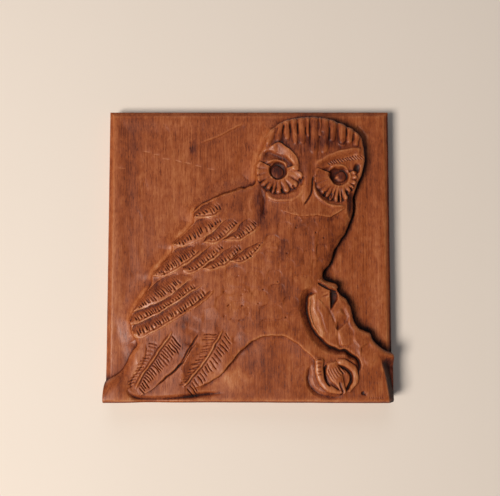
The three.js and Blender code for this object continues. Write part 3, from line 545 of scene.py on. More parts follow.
@dataclass(frozen=True)
class Finger:
    """Rounded finger along a line, a half circle across, thin at its start and pointed at its end."""

    points: Sequence[Point]
    width: float
    rise: float
    thinning: float = 0.3

    def cut(self, relief: Relief) -> None:
        """Raise the finger.

        Args:
            relief: The carved front.
        """
        near = relief.measure(Stroke(self.points), self.width / 2)
        start = 0.75 + 0.25 * ramp(near.share / 0.1)
        end = 0.45 + 0.55 * ramp((1 - near.share) / self.thinning)
        half = self.width / 2 * np.where(near.share < 0.5, start, end)
        profile = np.sqrt(np.clip(1 - (near.distance / half) ** 2, 0, 1))
        relief.height[near.window] += self.rise * profile * ramp(near.share / 0.12)


@dataclass(frozen=True)
class Nick:
    """Stop cut of a narrow gouge: a thin start, widest and deepest near its blunt end."""

    start: Point
    end: Point
    depth: float
    width: float
    thin: float = 0.45
    shallow: float = 0.3

    def cut(self, relief: Relief) -> None:
        """Cut the nick.

        Args:
            relief: The carved front.
        """
        near = relief.measure(Stroke([self.start, self.end]), self.width / 2)
        growth = ramp((near.share - 0.15) / 0.6)
        ends = ramp(near.share / 0.08) * ramp((1 - near.share) / 0.07)
        half = self.width / 2 * (self.thin + (1 - self.thin) * growth)
        deep = self.depth * (self.shallow + (1 - self.shallow) * growth)
        relief.height[near.window] -= deep * ends * np.clip(1 - near.distance / half, 0, 1)


@dataclass(frozen=True)
class Tint:
    """Colour made darker (or paler where the strength is negative) in a soft oval: used for the wood's own tone and for
    painted light and shade.
    """

    x: float
    z: float
    rx: float
    rz: float
    strength: float
    turn: float = 0.0

    def cut(self, relief: Relief) -> None:
        """Lay the tint: full in the middle, fading smoothly from half way out.

        Args:
            relief: The carved front.
        """
        radius = 1.25 * max(self.rx, self.rz)
        window = relief.window((self.x - radius, self.z - radius), (self.x + radius, self.z + radius))
        px, pz = relief.x[window] - self.x, relief.z[window] - self.z
        c, s = math.cos(math.radians(self.turn)), math.sin(math.radians(self.turn))
        distance = np.hypot((px * c + pz * s) / self.rx, (pz * c - px * s) / self.rz)
        relief.tone[window] += self.strength * (1 - ramp((distance - 0.35) / 0.85))


@dataclass(frozen=True)
class TintLine:
    """Colour made darker (or paler where the strength is negative) along a line: used for the wood's own tone and for
    painted light and shade.
    """

    points: Sequence[Point]
    width: float
    strength: float
    taper: float = 0.12

    def cut(self, relief: Relief) -> None:
        """Lay the tint.

        Args:
            relief: The carved front.
        """
        near = relief.measure(Stroke(self.points), self.width / 2)
        profile = 1 - ramp(near.distance / (self.width / 2))
        relief.tone[near.window] += self.strength * fade_ends(near.share, self.taper) * profile


@dataclass(frozen=True)
class TintArea:
    """Colour made darker (or paler where the strength is negative) inside an outline, with a soft edge: used for the
    wood's own tone and for painted light and shade.
    """

    points: Sequence[Point]
    strength: float
    edge: float = 2.0

    def cut(self, relief: Relief) -> None:
        """Lay the tint.

        Args:
            relief: The carved front.
        """
        line = Stroke(self.points, closed=True)
        near = relief.measure(line, self.edge)
        held = relief.inside(line, near.window)
        share = np.where(held, 0.5 + near.distance / self.edge / 2, 0.5 - near.distance / self.edge / 2)
        relief.tone[near.window] += self.strength * ramp(share)


@dataclass(frozen=True)
class Scale:
    """One plate of a broad gouge: a rounded square that rises to its lower edge and drops there to the next."""

    x: float
    z: float
    rx: float
    rz: float
    lift: float = 0.45
    turn: float = 0.0
    tone: float = 0.0

    def cut(self, relief: Relief) -> None:
        """Lay the plate, its outline a square with round corners: the sum of the fourth powers is one.

        Args:
            relief: The carved front.
        """
        radius = 1.3 * max(self.rx, self.rz)
        window = relief.window((self.x - radius, self.z - radius), (self.x + radius, self.z + radius))
        px, pz = relief.x[window] - self.x, relief.z[window] - self.z
        c, s = math.cos(math.radians(self.turn)), math.sin(math.radians(self.turn))
        u, v = (px * c + pz * s) / self.rx, (pz * c - px * s) / self.rz
        reach = (np.abs(u) ** 3 + np.abs(v) ** 3) ** (1 / 3)
        held = 1 - ramp((reach - 0.88) / 0.16)
        rise = 0.15 - 0.85 * v + 0.2 * u
        relief.height[window] += self.lift * held * (rise - 0.5 * reach**2)
        # Each plate's own tone, and a darker ring along its edge: painted shade where the plates meet.
        relief.tone[window] += held * self.tone + 0.16 * ramp((reach - 0.8) / 0.14) * (1 - ramp((reach - 0.98) / 0.2))


@dataclass(frozen=True)
class Lobes:
    """Strips side by side, from one point to another: of their round profiles the highest counts."""

    strips: Sequence[tuple[float, float, float, float, float, float]]
    rise: float
    power: float = 0.6
    drop: float = 0.0

    def cut(self, relief: Relief) -> None:
        """Raise the strips.

        Args:
            relief: The carved front.
        """
        top = np.zeros_like(relief.height)
        for x0, z0, x1, z1, width0, width1 in self.strips:
            near = relief.measure(Stroke([(x0, z0), (x1, z1)]), max(width0, width1) / 2)
            half = (width0 + (width1 - width0) * near.share) / 2
            profile = np.clip(1 - (near.distance / half) ** 2, 0, 1) ** self.power
            top[near.window] = np.maximum(top[near.window], profile)
        relief.height += self.rise * top - self.drop * (top > 0)


@dataclass(frozen=True)
class Facets:
    """Shallow plates left by a broad gouge inside an outline.

    Each plate is a plane with a tilt of its own. Plates meet in soft steps: the height is the mean of the planes,
    each weighted by a bell curve of the distance to its middle.
    """

    points: Sequence[Point]
    pitch: float
    tilt: float
    rise: float
    edge: float
    seed: int
    stretch: float = 1.0

    def cut(self, relief: Relief) -> None:
        """Cut the plates.

        Args:
            relief: The carved front.
        """
        line = Stroke(self.points, closed=True)
        near = relief.measure(line, self.edge)
        window = near.window
        held = relief.inside(line, window)
        x, z = relief.x[window], relief.z[window]
        random = np.random.default_rng(self.seed)
        low, high = line.points[:, :2].min(0), line.points[:, :2].max(0)
        pitch_z = self.pitch * self.stretch
        total, weights = np.zeros_like(x), np.full_like(x, 1e-12)
        for row, middle_z in enumerate(np.arange(low[1], high[1] + pitch_z, pitch_z * 0.9)):
            for middle_x in np.arange(low[0] + (row % 2) * self.pitch / 2, high[0] + self.pitch, self.pitch):
                cx, cz = (middle_x, middle_z) + random.normal(0, 0.16 * self.pitch, 2)
                tilt_x, tilt_z = random.normal(0, self.tilt, 2)
                lift = random.normal(0, self.rise)
                part = relief.window((cx - 2 * self.pitch, cz - 2 * pitch_z), (cx + 2 * self.pitch, cz + 2 * pitch_z))
                rows = slice(max(part[0].start - window[0].start, 0), max(part[0].stop - window[0].start, 0))
                columns = slice(max(part[1].start - window[1].start, 0), max(part[1].stop - window[1].start, 0))
                px, pz = x[rows, columns] - cx, z[rows, columns] - cz
                squared = (px / self.pitch) ** 2 + (pz / pitch_z) ** 2
                weight = np.exp(-14.0 * squared)
                total[rows, columns] += weight * (lift + tilt_x * px + tilt_z * pz)
                weights[rows, columns] += weight
        plates = total / weights * ramp(near.distance / self.edge)
        relief.height[window] += np.where(held, plates, 0.0)


def carve(relief: Relief, forms: Sequence[object]) -> None:
    """Cut forms one after another.

    Args:
        relief: The carved front.
        forms: The forms, in order.
    """
    for form in forms:
        form.cut(relief)


# The plaque's parts, each cut into the same board


@dataclass(frozen=True)
class Board:
    """The board with a bevel at the left, top and right edges, a crest inside it and a slightly hollow ground."""

    half_width: float = 125.0
    half_height: float = 128.0
    edge_thickness: float = 14.0
    crest_thickness: float = 16.2
    ground_thickness: float = 15.2
    bevel_width: float = 5.0
    crest_width: float = 1.0
    dish_width: float = 14.0
    right_round: float = 2.6

    def heights(self, relief: Relief) -> Array:
        """The board's own heights: a bevel up to the crest, then the hollow.

        Args:
            relief: The carved front.

        Returns:
            Heights over the whole grid.
        """
        inward = np.minimum(self.half_width - np.abs(relief.x), self.half_height - relief.z)
        bevel = (self.crest_thickness - self.edge_thickness) * ramp(inward / self.bevel_width)
        past_crest = inward - self.bevel_width - self.crest_width
        dish = (self.crest_thickness - self.ground_thickness) * ramp(past_crest / self.dish_width)
        return self.edge_thickness + bevel - dish

    def carve(self, relief: Relief) -> None:
        """Lay down the board with the gouge's long shallow runs over its ground.

        Args:
            relief: The carved front.
        """
        relief.height = self.heights(relief)
        ground = [(-118, -100), (-118, 121), (0, 121), (118, 121), (118, -70), (60, -60), (0, 0), (-60, -60)]
        scoop = [(-47, 99), (-36, 103), (-25, 107.5), (-15, 113), (-4, 118)]
        arc = [(94, 113), (98, 115.8), (102, 113), (105.5, 108), (108, 102)]
        sides = [[(-120, -104), (-120, 0), (-120, 122)], [(-121, 122.5), (0, 122.5), (118, 122.5)]]
        carve(
            relief,
            [
                Facets(ground, pitch=9, tilt=0.008, rise=0.05, edge=6, seed=3, stretch=3.2),
                Ridge(scoop, 0.5, 4),
                Lip(scoop, -0.35, 12, side=-1, wall=1.5),
                TintLine(scoop, 2.2, -0.15),
                TintLine([(x + 3, z - 3) for x, z in scoop], 6, 0.22),
                Lip(arc, -0.5, 5, side=-1, taper=0.2, wall=1.0),
                TintLine(arc, 2.0, -0.35),
                # Painted highlight along the crest of the left and top bevels, which face the light, and painted shade
                # on the right and top edges, which face away from it.
                *[TintLine(line, 2.2, -0.3, taper=0.02) for line in sides],
                TintLine([(124.3, 127), (124.3, 20), (124.3, -86)], 3.4, 1.3, taper=0.01),
                TintLine([(124.5, 127.6), (0, 127.6), (-124.5, 127.6)], 1.8, 0.5, taper=0.01),
                TintArea([(-117, 92), (-117, 121), (-87, 121), (-84, 108), (-88, 95), (-102, 91)], 0.32, 5),
                Tint(-108, 70, 9, 34, 0.22), Tint(-68, 100, 20, 12, 0.12), Tint(-106, 110, 8, 6, 0.15),
                Tint(-50, 94.5, 3.6, 5, 0.9, turn=-25), Tint(-52, 90, 7, 8, 0.2), Tint(-47, 100, 6, 6, 0.15),
                Tint(20, 122, 60, 4, 0.15), Tint(-30, 40, 26, 40, -0.08), Tint(-70, 50, 18, 50, -0.1),
                Tint(106, -20, 14, 50, -0.2), Tint(100, 30, 12, 30, -0.05), Tint(112, 80, 8, 50, 0.1),
                Tint(-10, 80, 14, 24, -0.12), Tint(-114, -40, 9, 60, -0.1), Tint(-98, 119, 1.4, 0.8, -0.8),
            ],
        )


# How wide the figure's edge falls away, the share of its height that is a sheer wall, how high the cove beside
# it climbs, and the points of that stretch of its contour
CONTOUR = (
    (4.0, 0.30, 4.2, [(5, 62), (6, 75), (8, 85), (12, 92), (13, 100), (16, 106), (22, 112)]),
    (4.0, 0.55, 0.0, [(30, 117.5), (40, 120), (55, 121.3), (70, 119.5), (80, 116), (90, 111.5), (97, 106)]),
    (3.0, 0.70, 0.0, [(100.5, 100), (102, 85), (101, 77), (99.5, 70), (96, 62), (93.5, 56)]),
    (8.0, 0.50, 0.0, [(92, 50), (92.5, 43), (91, 33), (88, 26), (84, 17), (76, 5), (72, -7), (67, -13)]),
    (6.0, 0.60, 0.0, [(64, -18), (64.5, -21.5)]),
    (2.0, 0.65, 0.0, [(70, -24), (76, -25.5), (78, -28.5), (77, -32)]),
    (4.5, 0.65, 0.0, [(80, -36), (85, -40), (88, -45), (91, -58), (94, -63), (100, -66.5), (105, -69)]),
    (4.5, 0.65, 0.0, [(107, -74), (111, -78), (116, -82.5), (121, -85), (127, -87.5)]),
    (4.0, 0.50, 0.0, [(140, -95), (140, -150), (-140, -150), (-140, -114)]),
    (13.0, 0.06, 0.8, [(-127, -111.5), (-120, -107.5), (-113, -103), (-108, -97), (-105, -90)]),
    (5.0, 0.25, 3.0, [(-100.5, -84), (-97.5, -79), (-98.5, -74)]),
    (3.0, 0.40, 4.0, [(-101.5, -70.5), (-103.5, -61), (-103.5, -57), (-98, -45), (-92, -36), (-88, -31)]),
    (3.0, 0.40, 4.0, [(-84.8, -24), (-84.5, -18), (-80, -13), (-75, -7), (-69, -0.5), (-67, 4), (-67.5, 8.5)]),
    (3.0, 0.40, 4.0, [(-62, 13.5), (-50, 26), (-49.5, 31), (-48.5, 37), (-45, 41.5)]),
    (6.0, 0.35, 3.4, [(-40, 45.5), (-30, 50.5), (-20, 54.5), (-10, 58), (-1, 59.5)]),
)

# Heights of the rounded masses, (x, z, height)
MASSES = (
    # crown and face
    (18, 108, 24), (35, 118, 25), (55, 121, 25.5), (78, 117, 25.5), (95, 106, 25), (30, 104, 26), (50, 106, 27.5),
    (70, 105, 28), (88, 100, 27), (48, 90, 28.5), (48, 75, 28.5), (12, 90, 24.5), (8, 70, 24), (24, 72, 26),
    (36, 62, 27), (20, 55, 26.5), (75, 66, 27.5), (66, 58, 28), (98, 85, 26), (96, 66, 25.5), (48, 48, 29),
    (62, 38, 28), (35, 40, 27.5), (85, 48, 26.5),
    # breast
    (12, 40, 25.3), (20, 25, 27), (40, 20, 28), (58, 20, 27.8), (76, 35, 26), (84, 25, 24.5), (70, 0, 25.5),
    (50, 0, 28), (30, 0, 28.5), (62, -15, 25), (45, -20, 27.8),
    # shoulder and wing
    (0, 54, 23.5), (-20, 50, 23), (-8, 40, 26), (0, 30, 27.3), (-22, 30, 26), (-42, 38, 22.5), (-60, 12, 21.5),
    (-80, -16, 21.5), (-97, -48, 21.5), (-102, -62, 21.5), (-97, -71, 22), (-40, 5, 25), (-20, -10, 26.5),
    (-60, -20, 24.5), (-75, -45, 24.5), (-50, -35, 26), (-30, -25, 27),
    # belly and leg
    (0, -15, 27.8), (-20, -40, 27.5), (0, -50, 28), (20, -45, 28), (38, -50, 27.3), (20, -63, 27.5),
    (40, -68, 27.2), (0, -68, 27), (52, -85, 26.5), (60, -93, 26.5),
    # tail
    (-80, -78, 24.5), (-70, -90, 25), (-50, -78, 26), (-30, -80, 26.5), (-92, -100, 24.3), (-92, -85, 24),
    (-45, -100, 25), (-75, -110, 24.5), (-96, -114, 24.5),
    # ground under the owl
    (0, -90, 24.5), (30, -88, 24.5), (30, -108, 25), (0, -112, 25.3), (-40, -119, 25), (50, -105, 24.8),
    (-112, -122, 27.5), (-60, -122, 25.5), (40, -124, 26.5),
    # rock
    (62, -42, 26.5), (74, -50, 26), (85, -52, 25), (78, -70, 26.5), (95, -75, 26.5), (100, -88, 27), (108, -90, 27),
    (104, -108, 27.5), (98, -122, 28), (75, -124, 27.5),
)


@dataclass(frozen=True)
class Figure:
    """The rounded masses of owl, tail, rock and ground, standing on the board behind one contour."""

    cove_reach: float = 15.0
    wall_width: float = 0.8
    mass_reach: float = 8.0
    far_reach: float = 20.0
    far_weight: float = 0.02

    def masses(self, relief: Relief) -> Array:
        """Mean of the masses' heights, each weighted by a near and a far bell curve of its distance.

        Args:
            relief: The carved front.

        Returns:
            Heights over the whole grid.
        """
        mx, mz, height = np.array(MASSES, float).T
        total, weights = np.zeros_like(relief.x), np.full_like(relief.x, 1e-9)
        for reach, weight in ((self.mass_reach, 1.0), (self.far_reach, self.far_weight)):
            across = np.exp(-((relief.xs[None, :] - mx[:, None]) ** 2) / (2 * reach**2))
            up = weight * np.exp(-((relief.zs[None, :] - mz[:, None]) ** 2) / (2 * reach**2))
            total += (up * height[:, None]).T @ across
            weights += up.T @ across
        return total / weights

    def carve(self, relief: Relief, board: Array) -> None:
        """Raise the figure: a sheer wall at the contour, then a quarter round up to the masses.

        Args:
            relief: The carved front.
            board: Heights of the board.
        """
        rows = [(*point, fall, wall, cove) for fall, wall, cove, points in CONTOUR for point in points]
        contour = Stroke(rows, closed=True)
        whole = (slice(0, len(relief.zs)), slice(0, len(relief.xs)))
        near = relief.measure(contour, self.cove_reach)
        distance = np.full_like(relief.x, self.cove_reach)
        share = np.zeros_like(relief.x)
        distance[near.window], share[near.window] = near.distance, near.share
        inward = np.where(relief.inside(contour, whole), distance, -distance)
        fall, wall, cove = (contour.value(column, share) for column in (2, 3, 4))
        ground = board + cove * np.clip(1 + np.minimum(inward, 0) / self.cove_reach, 0, 1) ** 1.8
        sheer = wall * np.clip(inward / self.wall_width + 0.5, 0, 1)
        rounded = (1 - wall) * quarter_round(inward / fall)
        masses = np.maximum(self.masses(relief), ground + 1)
        relief.height = ground + (masses - ground) * (sheer + rounded)
        relief.inward = inward
        # Painted shadow and painted light along the contour.
        carve(relief, self.contour_light_and_shadow())

    def contour_light_and_shadow(self) -> list[object]:
        """Painted shadow under the sheer right contours and on the body's right side, painted light along the coves and
        edges at the left, which face the light, and a pale line with a darker one below it along the shoulder.

        Returns:
            The tints.
        """
        head = [(34, 120.5), (50, 122), (65, 121), (75, 118.6), (85, 115), (93, 111), (98.6, 106), (102, 100),
                (103, 85), (102, 77), (100.5, 70), (96.5, 61), (94, 50), (93.5, 42)]
        body = [(93, 42), (91.8, 33), (88.8, 26), (84.8, 17), (76.8, 5), (72.8, -7), (68.4, -13), (65, -18.5), (66, -21.5)]
        ledge = [(66, -21), (71, -23), (76.5, -25), (79.5, -28.5), (79, -33), (85, -38.5)]
        rock = [(80, -34), (85.8, -39.5), (89, -45), (92, -57.5), (95, -62.5), (100.6, -65.8), (105.8, -68.4),
                (108, -73.5), (112, -77.4), (116.8, -81.8), (121.5, -84.2)]
        neck = [(3, 60), (3, 66), (4, 75), (6, 85), (10, 93), (11, 100), (14, 106), (20, 113)]
        shoulder = [(-48, 41), (-42, 46.5), (-31, 51.8), (-20, 56), (-10, 59.5), (-2, 61)]
        wing_low = [(-102, -80), (-100, -75), (-103.5, -69), (-105.5, -60), (-104.5, -55), (-99.5, -44), (-93, -34), (-88, -28)]
        wing_mid = [(-87, -24), (-86.5, -18), (-82, -11.5), (-77, -5.5), (-71, 1), (-69, 5), (-69, 9)]
        wing_top = [(-65, 13.5), (-58, 20), (-51.5, 27), (-51, 32), (-50, 38), (-47, 42)]
        return [
            TintLine(head, 4.5, 1.6, taper=0.1),
            TintLine(body, 4.5, 1.5, taper=0.03),
            TintLine(ledge, 4.0, 1.6, taper=0.08),
            TintLine(rock, 4.2, 1.6, taper=0.03),
            # Painted shade on the body's right side, which turns away from the light.
            TintLine([(x - 3.5, z) for x, z in body[2:]], 6, 0.45),
            TintLine(neck, 9, -0.9, taper=0.15),
            *[TintLine(line, 7, -0.95, taper=0.08) for line in (wing_low, wing_mid, wing_top)],
            TintLine([(5, 62), (6, 75), (8, 85), (12, 92), (13, 100), (16, 106), (22, 112), (28, 116)], 3, -0.6, taper=0.1),
            TintLine(shoulder, 3.5, -0.3),
            TintLine([(x + 0.6, z - 1.9) for x, z in shoulder], 1.6, 0.5),
        ]


@dataclass(frozen=True)
class Breast:
    """Breast, belly and shoulder: plates left by a broad gouge, and a few short marks."""

    plates: tuple[Scale, ...] = (
        Scale(22, -62, 13, 6, tone=-0.1), Scale(-8, -49, 10, 8, 0.3, tone=-0.12), Scale(41, -57, 7, 9, 0.3),
        Scale(19, -51, 10.5, 7, tone=-0.05), Scale(36, -45, 7, 8), Scale(50, -38, 5, 8, 0.3, tone=0.1),
        Scale(9.5, -38, 7.5, 6.8, turn=-10, tone=-0.2), Scale(24, -34, 7.5, 8, tone=0.12),
        Scale(47, -25, 9.5, 7, tone=-0.18), Scale(22, -20.5, 6.5, 6.5), Scale(-12, -20, 9, 9, 0.3, tone=-0.1),
        Scale(5, -22, 8, 7, 0.35), Scale(32.5, -13, 7.5, 8, tone=-0.08), Scale(59, -12, 5, 7, 0.35),
        Scale(53, -5, 6, 9, tone=-0.15), Scale(41, -3, 6.5, 8, 0.4, tone=0.05), Scale(20, -1, 7, 6, tone=-0.05),
        Scale(8, -6, 6, 7, 0.3, tone=-0.1), Scale(30, 4, 5, 8, 0.35, tone=0.15), Scale(63, 2, 5, 6.5, 0.5),
        Scale(20, 9, 6.5, 7.5, 0.55, tone=-0.25), Scale(45.5, 15, 7, 10, 0.4, tone=-0.02), Scale(31, 20, 6.5, 8),
        Scale(66, 15, 6, 7, 0.4), Scale(55, 18, 5, 10, 0.35, tone=0.05), Scale(76, 24, 7, 9, 0.4, tone=0.12),
    )
    pits: tuple[Point, ...] = (
        (58, 18), (64.5, 13.5), (41, 22), (24.5, -24), (31.5, -55), (8, -43), (-6, -45), (33, 0), (12, -31),
    )

    def carve(self, relief: Relief) -> None:
        """Cut the plates and the marks.

        Args:
            relief: The carved front.
        """
        shoulder = [(-40, 40), (-20, 50), (2, 54), (10, 40), (8, 32), (-10, 32), (-30, 34)]
        belly = [(-60, -60), (-30, -34), (-8, -20), (6, -30), (4, -64), (-20, -84), (-50, -74)]
        random = np.random.default_rng(21)
        ticks = [
            Groove([(x, z), (x + 2.8, z + 1.5)], 0.5, 1.5, taper=0.3)
            for x, z in random.uniform((-28, -62), (-2, -20), (10, 2))
        ]
        carve(
            relief,
            [
                *self.plates,
                Facets(shoulder, pitch=13, tilt=0.03, rise=0.1, edge=6, seed=5),
                Facets(belly, pitch=12, tilt=0.035, rise=0.12, edge=6, seed=8),
                Ridge([(57.5, 26), (57, 12), (57.5, -2), (59, -14)], 0.6, 6, taper=0.3),
                *[Dome(x, z, 0.9, 0.9, -0.8, power=0.6) for x, z in self.pits],
                *ticks,
                Groove([(-19, -46), (-16, -44)], 1.0, 1.6),
                TintLine([(12.5, 13.5), (16, 16.5), (21, 17), (27, 14)], 1.8, 0.4),
                # The dark ovals at (30, 3) and (10, 44) are painted shade, in a hollow of the breast and in the valley
                # between breast and shoulder.
                Tint(30, 3, 5, 12, 0.45), Tint(31, -28, 6, 10, 0.4), Tint(9, -55, 3.5, 12, 0.4),
                Tint(45, 5, 14, 22, 0.2), Tint(70, 8, 8, 24, 0.3, turn=-15), Tint(38, -36, 9, 14, 0.25),
                Tint(-8, -36, 18, 20, -0.28), Tint(4, -12, 10, 8, -0.2), Tint(10, 44, 7, 24, 0.6),
                Tint(14, 30, 14, 10, 0.3), Tint(-18, 42, 20, 8, 0.2, turn=20), Tint(50, 24, 20, 5, 0.2),
                Tint(-38, -62, 16, 9, 0.3, turn=30), Tint(-56, -58, 10, 7, 0.45, turn=30),
                Tint(-20, -60, 14, 10, 0.1), Tint(20, -72, 30, 4, -0.2),
            ],
        )


TUFTS = (
    (20, 109, 16.5, 98, 8, 6), (27, 114, 25.5, 101, 7, 6.5), (33.2, 117.5, 33.4, 102.5, 7, 6), (39.4, 119.5, 40.8, 97.5, 6.5, 5),
    (46.3, 120, 46.5, 99, 7.4, 6.4), (51.7, 120.5, 51.6, 104, 4.4, 3.6), (57.6, 120.5, 57, 90.5, 8.6, 7), (62.8, 120, 62, 104, 3.4, 3),
    (67.3, 119.5, 66.2, 90.5, 8, 6), (74.2, 117.5, 73.2, 101, 7.4, 6), (82.3, 114, 81.8, 97.5, 8.2, 7.4), (89.5, 110.5, 88.2, 99, 6.8, 5.4),
    (95.5, 106, 94, 96, 6, 4.5),
)


@dataclass(frozen=True)
class Crown:
    """Tufts hanging side by side over the forehead, with deep cuts between them."""

    tuft_rise: float = 1.5
    cut_depth: float = 0.7

    def carve(self, relief: Relief) -> None:
        """Raise the tufts and cut between them.

        Args:
            relief: The carved front.
        """
        cuts = [
            [(25, 112), (23.4, 105)], [(30.4, 114.5), (30.0, 106)], [(36.6, 115), (36.2, 105)], [(43, 116), (43.2, 104)],
            [(50, 112), (49.6, 103)], [(53.4, 116), (53.1, 103), (53.6, 92)], [(62, 116), (61.8, 100)],
            [(64.4, 107), (65, 103)], [(70.8, 112), (70.2, 99)],
            [(78, 112), (78, 103), (80, 97.0), (83.6, 96.6), (85.9, 101.5)], [(86.2, 111), (86, 102)], [(91.8, 106), (91, 98)],
        ]
        chips = [[(40.2, 105.5), (42, 99.5)], [(29, 109), (32.8, 105)], [(31, 117), (34, 113.4)]]
        carve(
            relief,
            [
                Lobes(TUFTS, self.tuft_rise, power=0.85),
                Tint(48, 95, 27, 8, 0.6), Tint(76, 97, 19, 7, 0.6, turn=-18), Tint(27, 100, 9, 6, 0.45, turn=35),
                Tint(56, 108, 42, 14, 0.35), Tint(13, 98, 4, 7, 0.45), Tint(49, 78, 8, 16, 0.4), Tint(94, 96, 5, 8, 0.3),
                *[Groove(points, self.cut_depth, 2.4, taper=0.2) for points in cuts],
                *[TintLine(points, 2.6, 0.3) for points in cuts],
                *[Groove(points, 0.5, 1.3, taper=0.2) for points in chips],
                # Painted light on the chips' walls and on the tufts' sides that face the light.
                *[TintLine(points, 1.4, -0.9) for points in chips],
                Tint(45.6, 110, 2.0, 7, -0.45), Tint(56, 104, 2.0, 11, -0.35), Tint(66, 103, 2.0, 10, -0.15),
                Tint(81.4, 104, 2.0, 6, -0.3), Tint(72.6, 107, 1.8, 6, -0.15), Tint(50.5, 108.5, 0.8, 3.6, -0.5),
                Groove([(46, 97), (46, 84)], 0.5, 2.6, taper=0.3),
                Groove([(60, 90), (60.5, 80)], 0.5, 2.6, taper=0.3),
            ],
        )


@dataclass(frozen=True)
class Eye:
    """A ball in a socket under a pale lid, with painted shade in the socket and on the ball's upper right, and a
    painted glint.
    """

    x: float
    z: float
    socket: Point
    ball: float
    lid: Sequence[Point]
    ball_shift: Point
    painted_glint: Point
    socket_turn: float = 0.0
    socket_depth: float = 3.4
    ball_rise: float = 2.6

    def carve(self, relief: Relief) -> None:
        """Sink the socket, raise the ball in it and the lid around it.

        Args:
            relief: The carved front.
        """
        ball_x, ball_z = self.x + self.ball_shift[0], self.z + self.ball_shift[1]
        rx, rz = self.socket
        carve(
            relief,
            [
                Dome(self.x, self.z, rx, rz, -self.socket_depth, power=0.6, turn=self.socket_turn),
                Dome(ball_x, ball_z, self.ball, self.ball, self.ball_rise, power=0.6),
                Ridge(self.lid, 1.0, 3.4),
                # Painted shade in the socket and on the ball's upper right.
                Tint(self.x, self.z, rx * 1.05, rz * 1.05, 0.35, turn=self.socket_turn),
                Tint(ball_x + 1.0, ball_z + 1.2, self.ball, self.ball, 0.65),
                TintLine(self.lid, 3.6, -0.3),
                # Painted glint: a highlight on the ball's lower left.
                Tint(*self.painted_glint, 1.9, 1.2, -1.6, turn=30),
            ],
        )


@dataclass(frozen=True)
class FaceDisc:
    """A sunk face disc: petals side by side around the eye, painted shade in the gaps at some of their ends and in the
    valleys between them, a pale rim below.

    Each petal has the angle where it starts in degrees, its reach from the disc's centre, its tone and how deep
    its sides fall. It ends where the next one starts.
    """

    outline: Sequence[Point]
    centre: Point
    petals: Sequence[tuple[float, float, float, float]]
    gaps: Sequence[Sequence[Point]]
    rim: Sequence[Point]
    rim_width: float
    rim_rise: float
    inner: float = 7.0
    sink: float = 1.8
    petal_rise: float = 2.2

    def carve(self, relief: Relief) -> None:
        """Sink the disc, then raise its petals and rim.

        Args:
            relief: The carved front.
        """
        carve(relief, [Area(self.outline, -self.sink, 3.5), TintArea(self.outline, 0.25, 3.0)])
        self.fan(relief)
        carve(
            relief,
            [
                *[Groove(points, 1.3, 3.0, taper=0.25) for points in self.gaps],
                # Painted shade in the gaps.
                *[TintLine(points, 3.2, 0.9) for points in self.gaps],
                Ridge(self.rim, self.rim_rise, self.rim_width, taper=0.14),
                TintLine(self.rim, self.rim_width * 0.9, -0.3, taper=0.14),
            ],
        )

    def fan(self, relief: Relief) -> None:
        """Raise the petals: across each a half sine, deeper towards its round outer end, with painted shade in the
        valleys between them.

        Args:
            relief: The carved front.
        """
        x0, z0 = self.centre
        reach = max(petal[1] for petal in self.petals)
        window = relief.window((x0 - reach, z0 - reach), (x0 + reach, z0 + reach))
        px, pz = relief.x[window] - x0, relief.z[window] - z0
        radius, angle = np.hypot(px, pz), np.degrees(np.arctan2(pz, px))
        inward = ramp((radius - self.inner) / 2.0)
        out = ramp((radius - self.inner - 1.0) / 9.0)
        for (start, end_radius, tone, depth), (end, *_) in zip(self.petals[:-1], self.petals[1:]):
            span = (end - start) % 360.0
            share = np.mod(angle - start, 360.0) / span
            held = share < 1
            arch = np.sin(np.pi * np.clip(share, 0, 1)) ** 0.6
            length = end_radius - depth * 3.2 * (1 - arch) - radius
            profile = (1 - depth * out * (1 - arch)) * quarter_round(length / 3.5)
            relief.height[window] += np.where(held, self.petal_rise * profile * inward, 0.0)
            # Painted shade in the valleys between the petals, deepest towards their outer ends.
            valley_shade = 0.9 * depth * (1 - arch) ** 2 * out + 0.25 * (1 - ramp(length / 2.0))
            relief.tone[window] += np.where(held, (tone * profile + valley_shade) * (radius < end_radius) * inward, 0.0)


LEFT_EYE = Eye(
    x=25.5, z=73.0, socket=(7.4, 7.8), ball=5.8, ball_shift=(-0.6, -1.0), painted_glint=(20.0, 67.2),
    lid=[(13, 78), (17.5, 80.4), (22, 82.2), (27, 81.8), (31.4, 79), (33.6, 74)],
)
RIGHT_EYE = Eye(
    x=78.2, z=68.2, socket=(8.8, 6.9), ball=4.9, ball_shift=(2.4, -0.6), painted_glint=(76.6, 66.5), socket_turn=-8,
    lid=[(69.5, 71.5), (72.3, 75), (77, 77.4), (82, 76.8), (86.4, 73.4), (88, 68), (87, 62.6)],
)
LEFT_DISC = FaceDisc(
    outline=[(8, 80), (6.5, 72), (7.5, 63), (12, 55), (20, 51), (30, 50), (40, 52.5), (45.5, 58), (47, 66), (43, 71),
             (37, 77), (30, 81), (18, 82.5)],
    centre=(25.5, 73.0),
    petals=[(152, 19.5, -0.3, 0.4), (172, 19.5, -0.4, 0.4), (193, 20, -0.4, 0.4), (213, 20, -0.3, 0.7), (232, 19, 0.1, 0.8),
            (250, 21, -0.1, 0.9), (264, 21, -0.45, 0.9), (283, 21.5, -0.5, 0.9), (305, 22, -0.6, 0.8), (330, 22.5, -0.6, 0.7),
            (356, 18, -0.4, 0.4), (16, 14, 0.0, 0.0)],
    gaps=[[(20.4, 59), (19.0, 54)], [(28.4, 57.4), (28.8, 53.2)], [(37.8, 60.0), (40.6, 56.6)], [(43, 65.2), (46, 63.6)]],
    rim=[(13, 54), (16, 50.2), (22, 47.2), (30, 46.2), (38, 47.4), (44, 51), (47.3, 57)],
    rim_width=5.5, rim_rise=1.1,
)
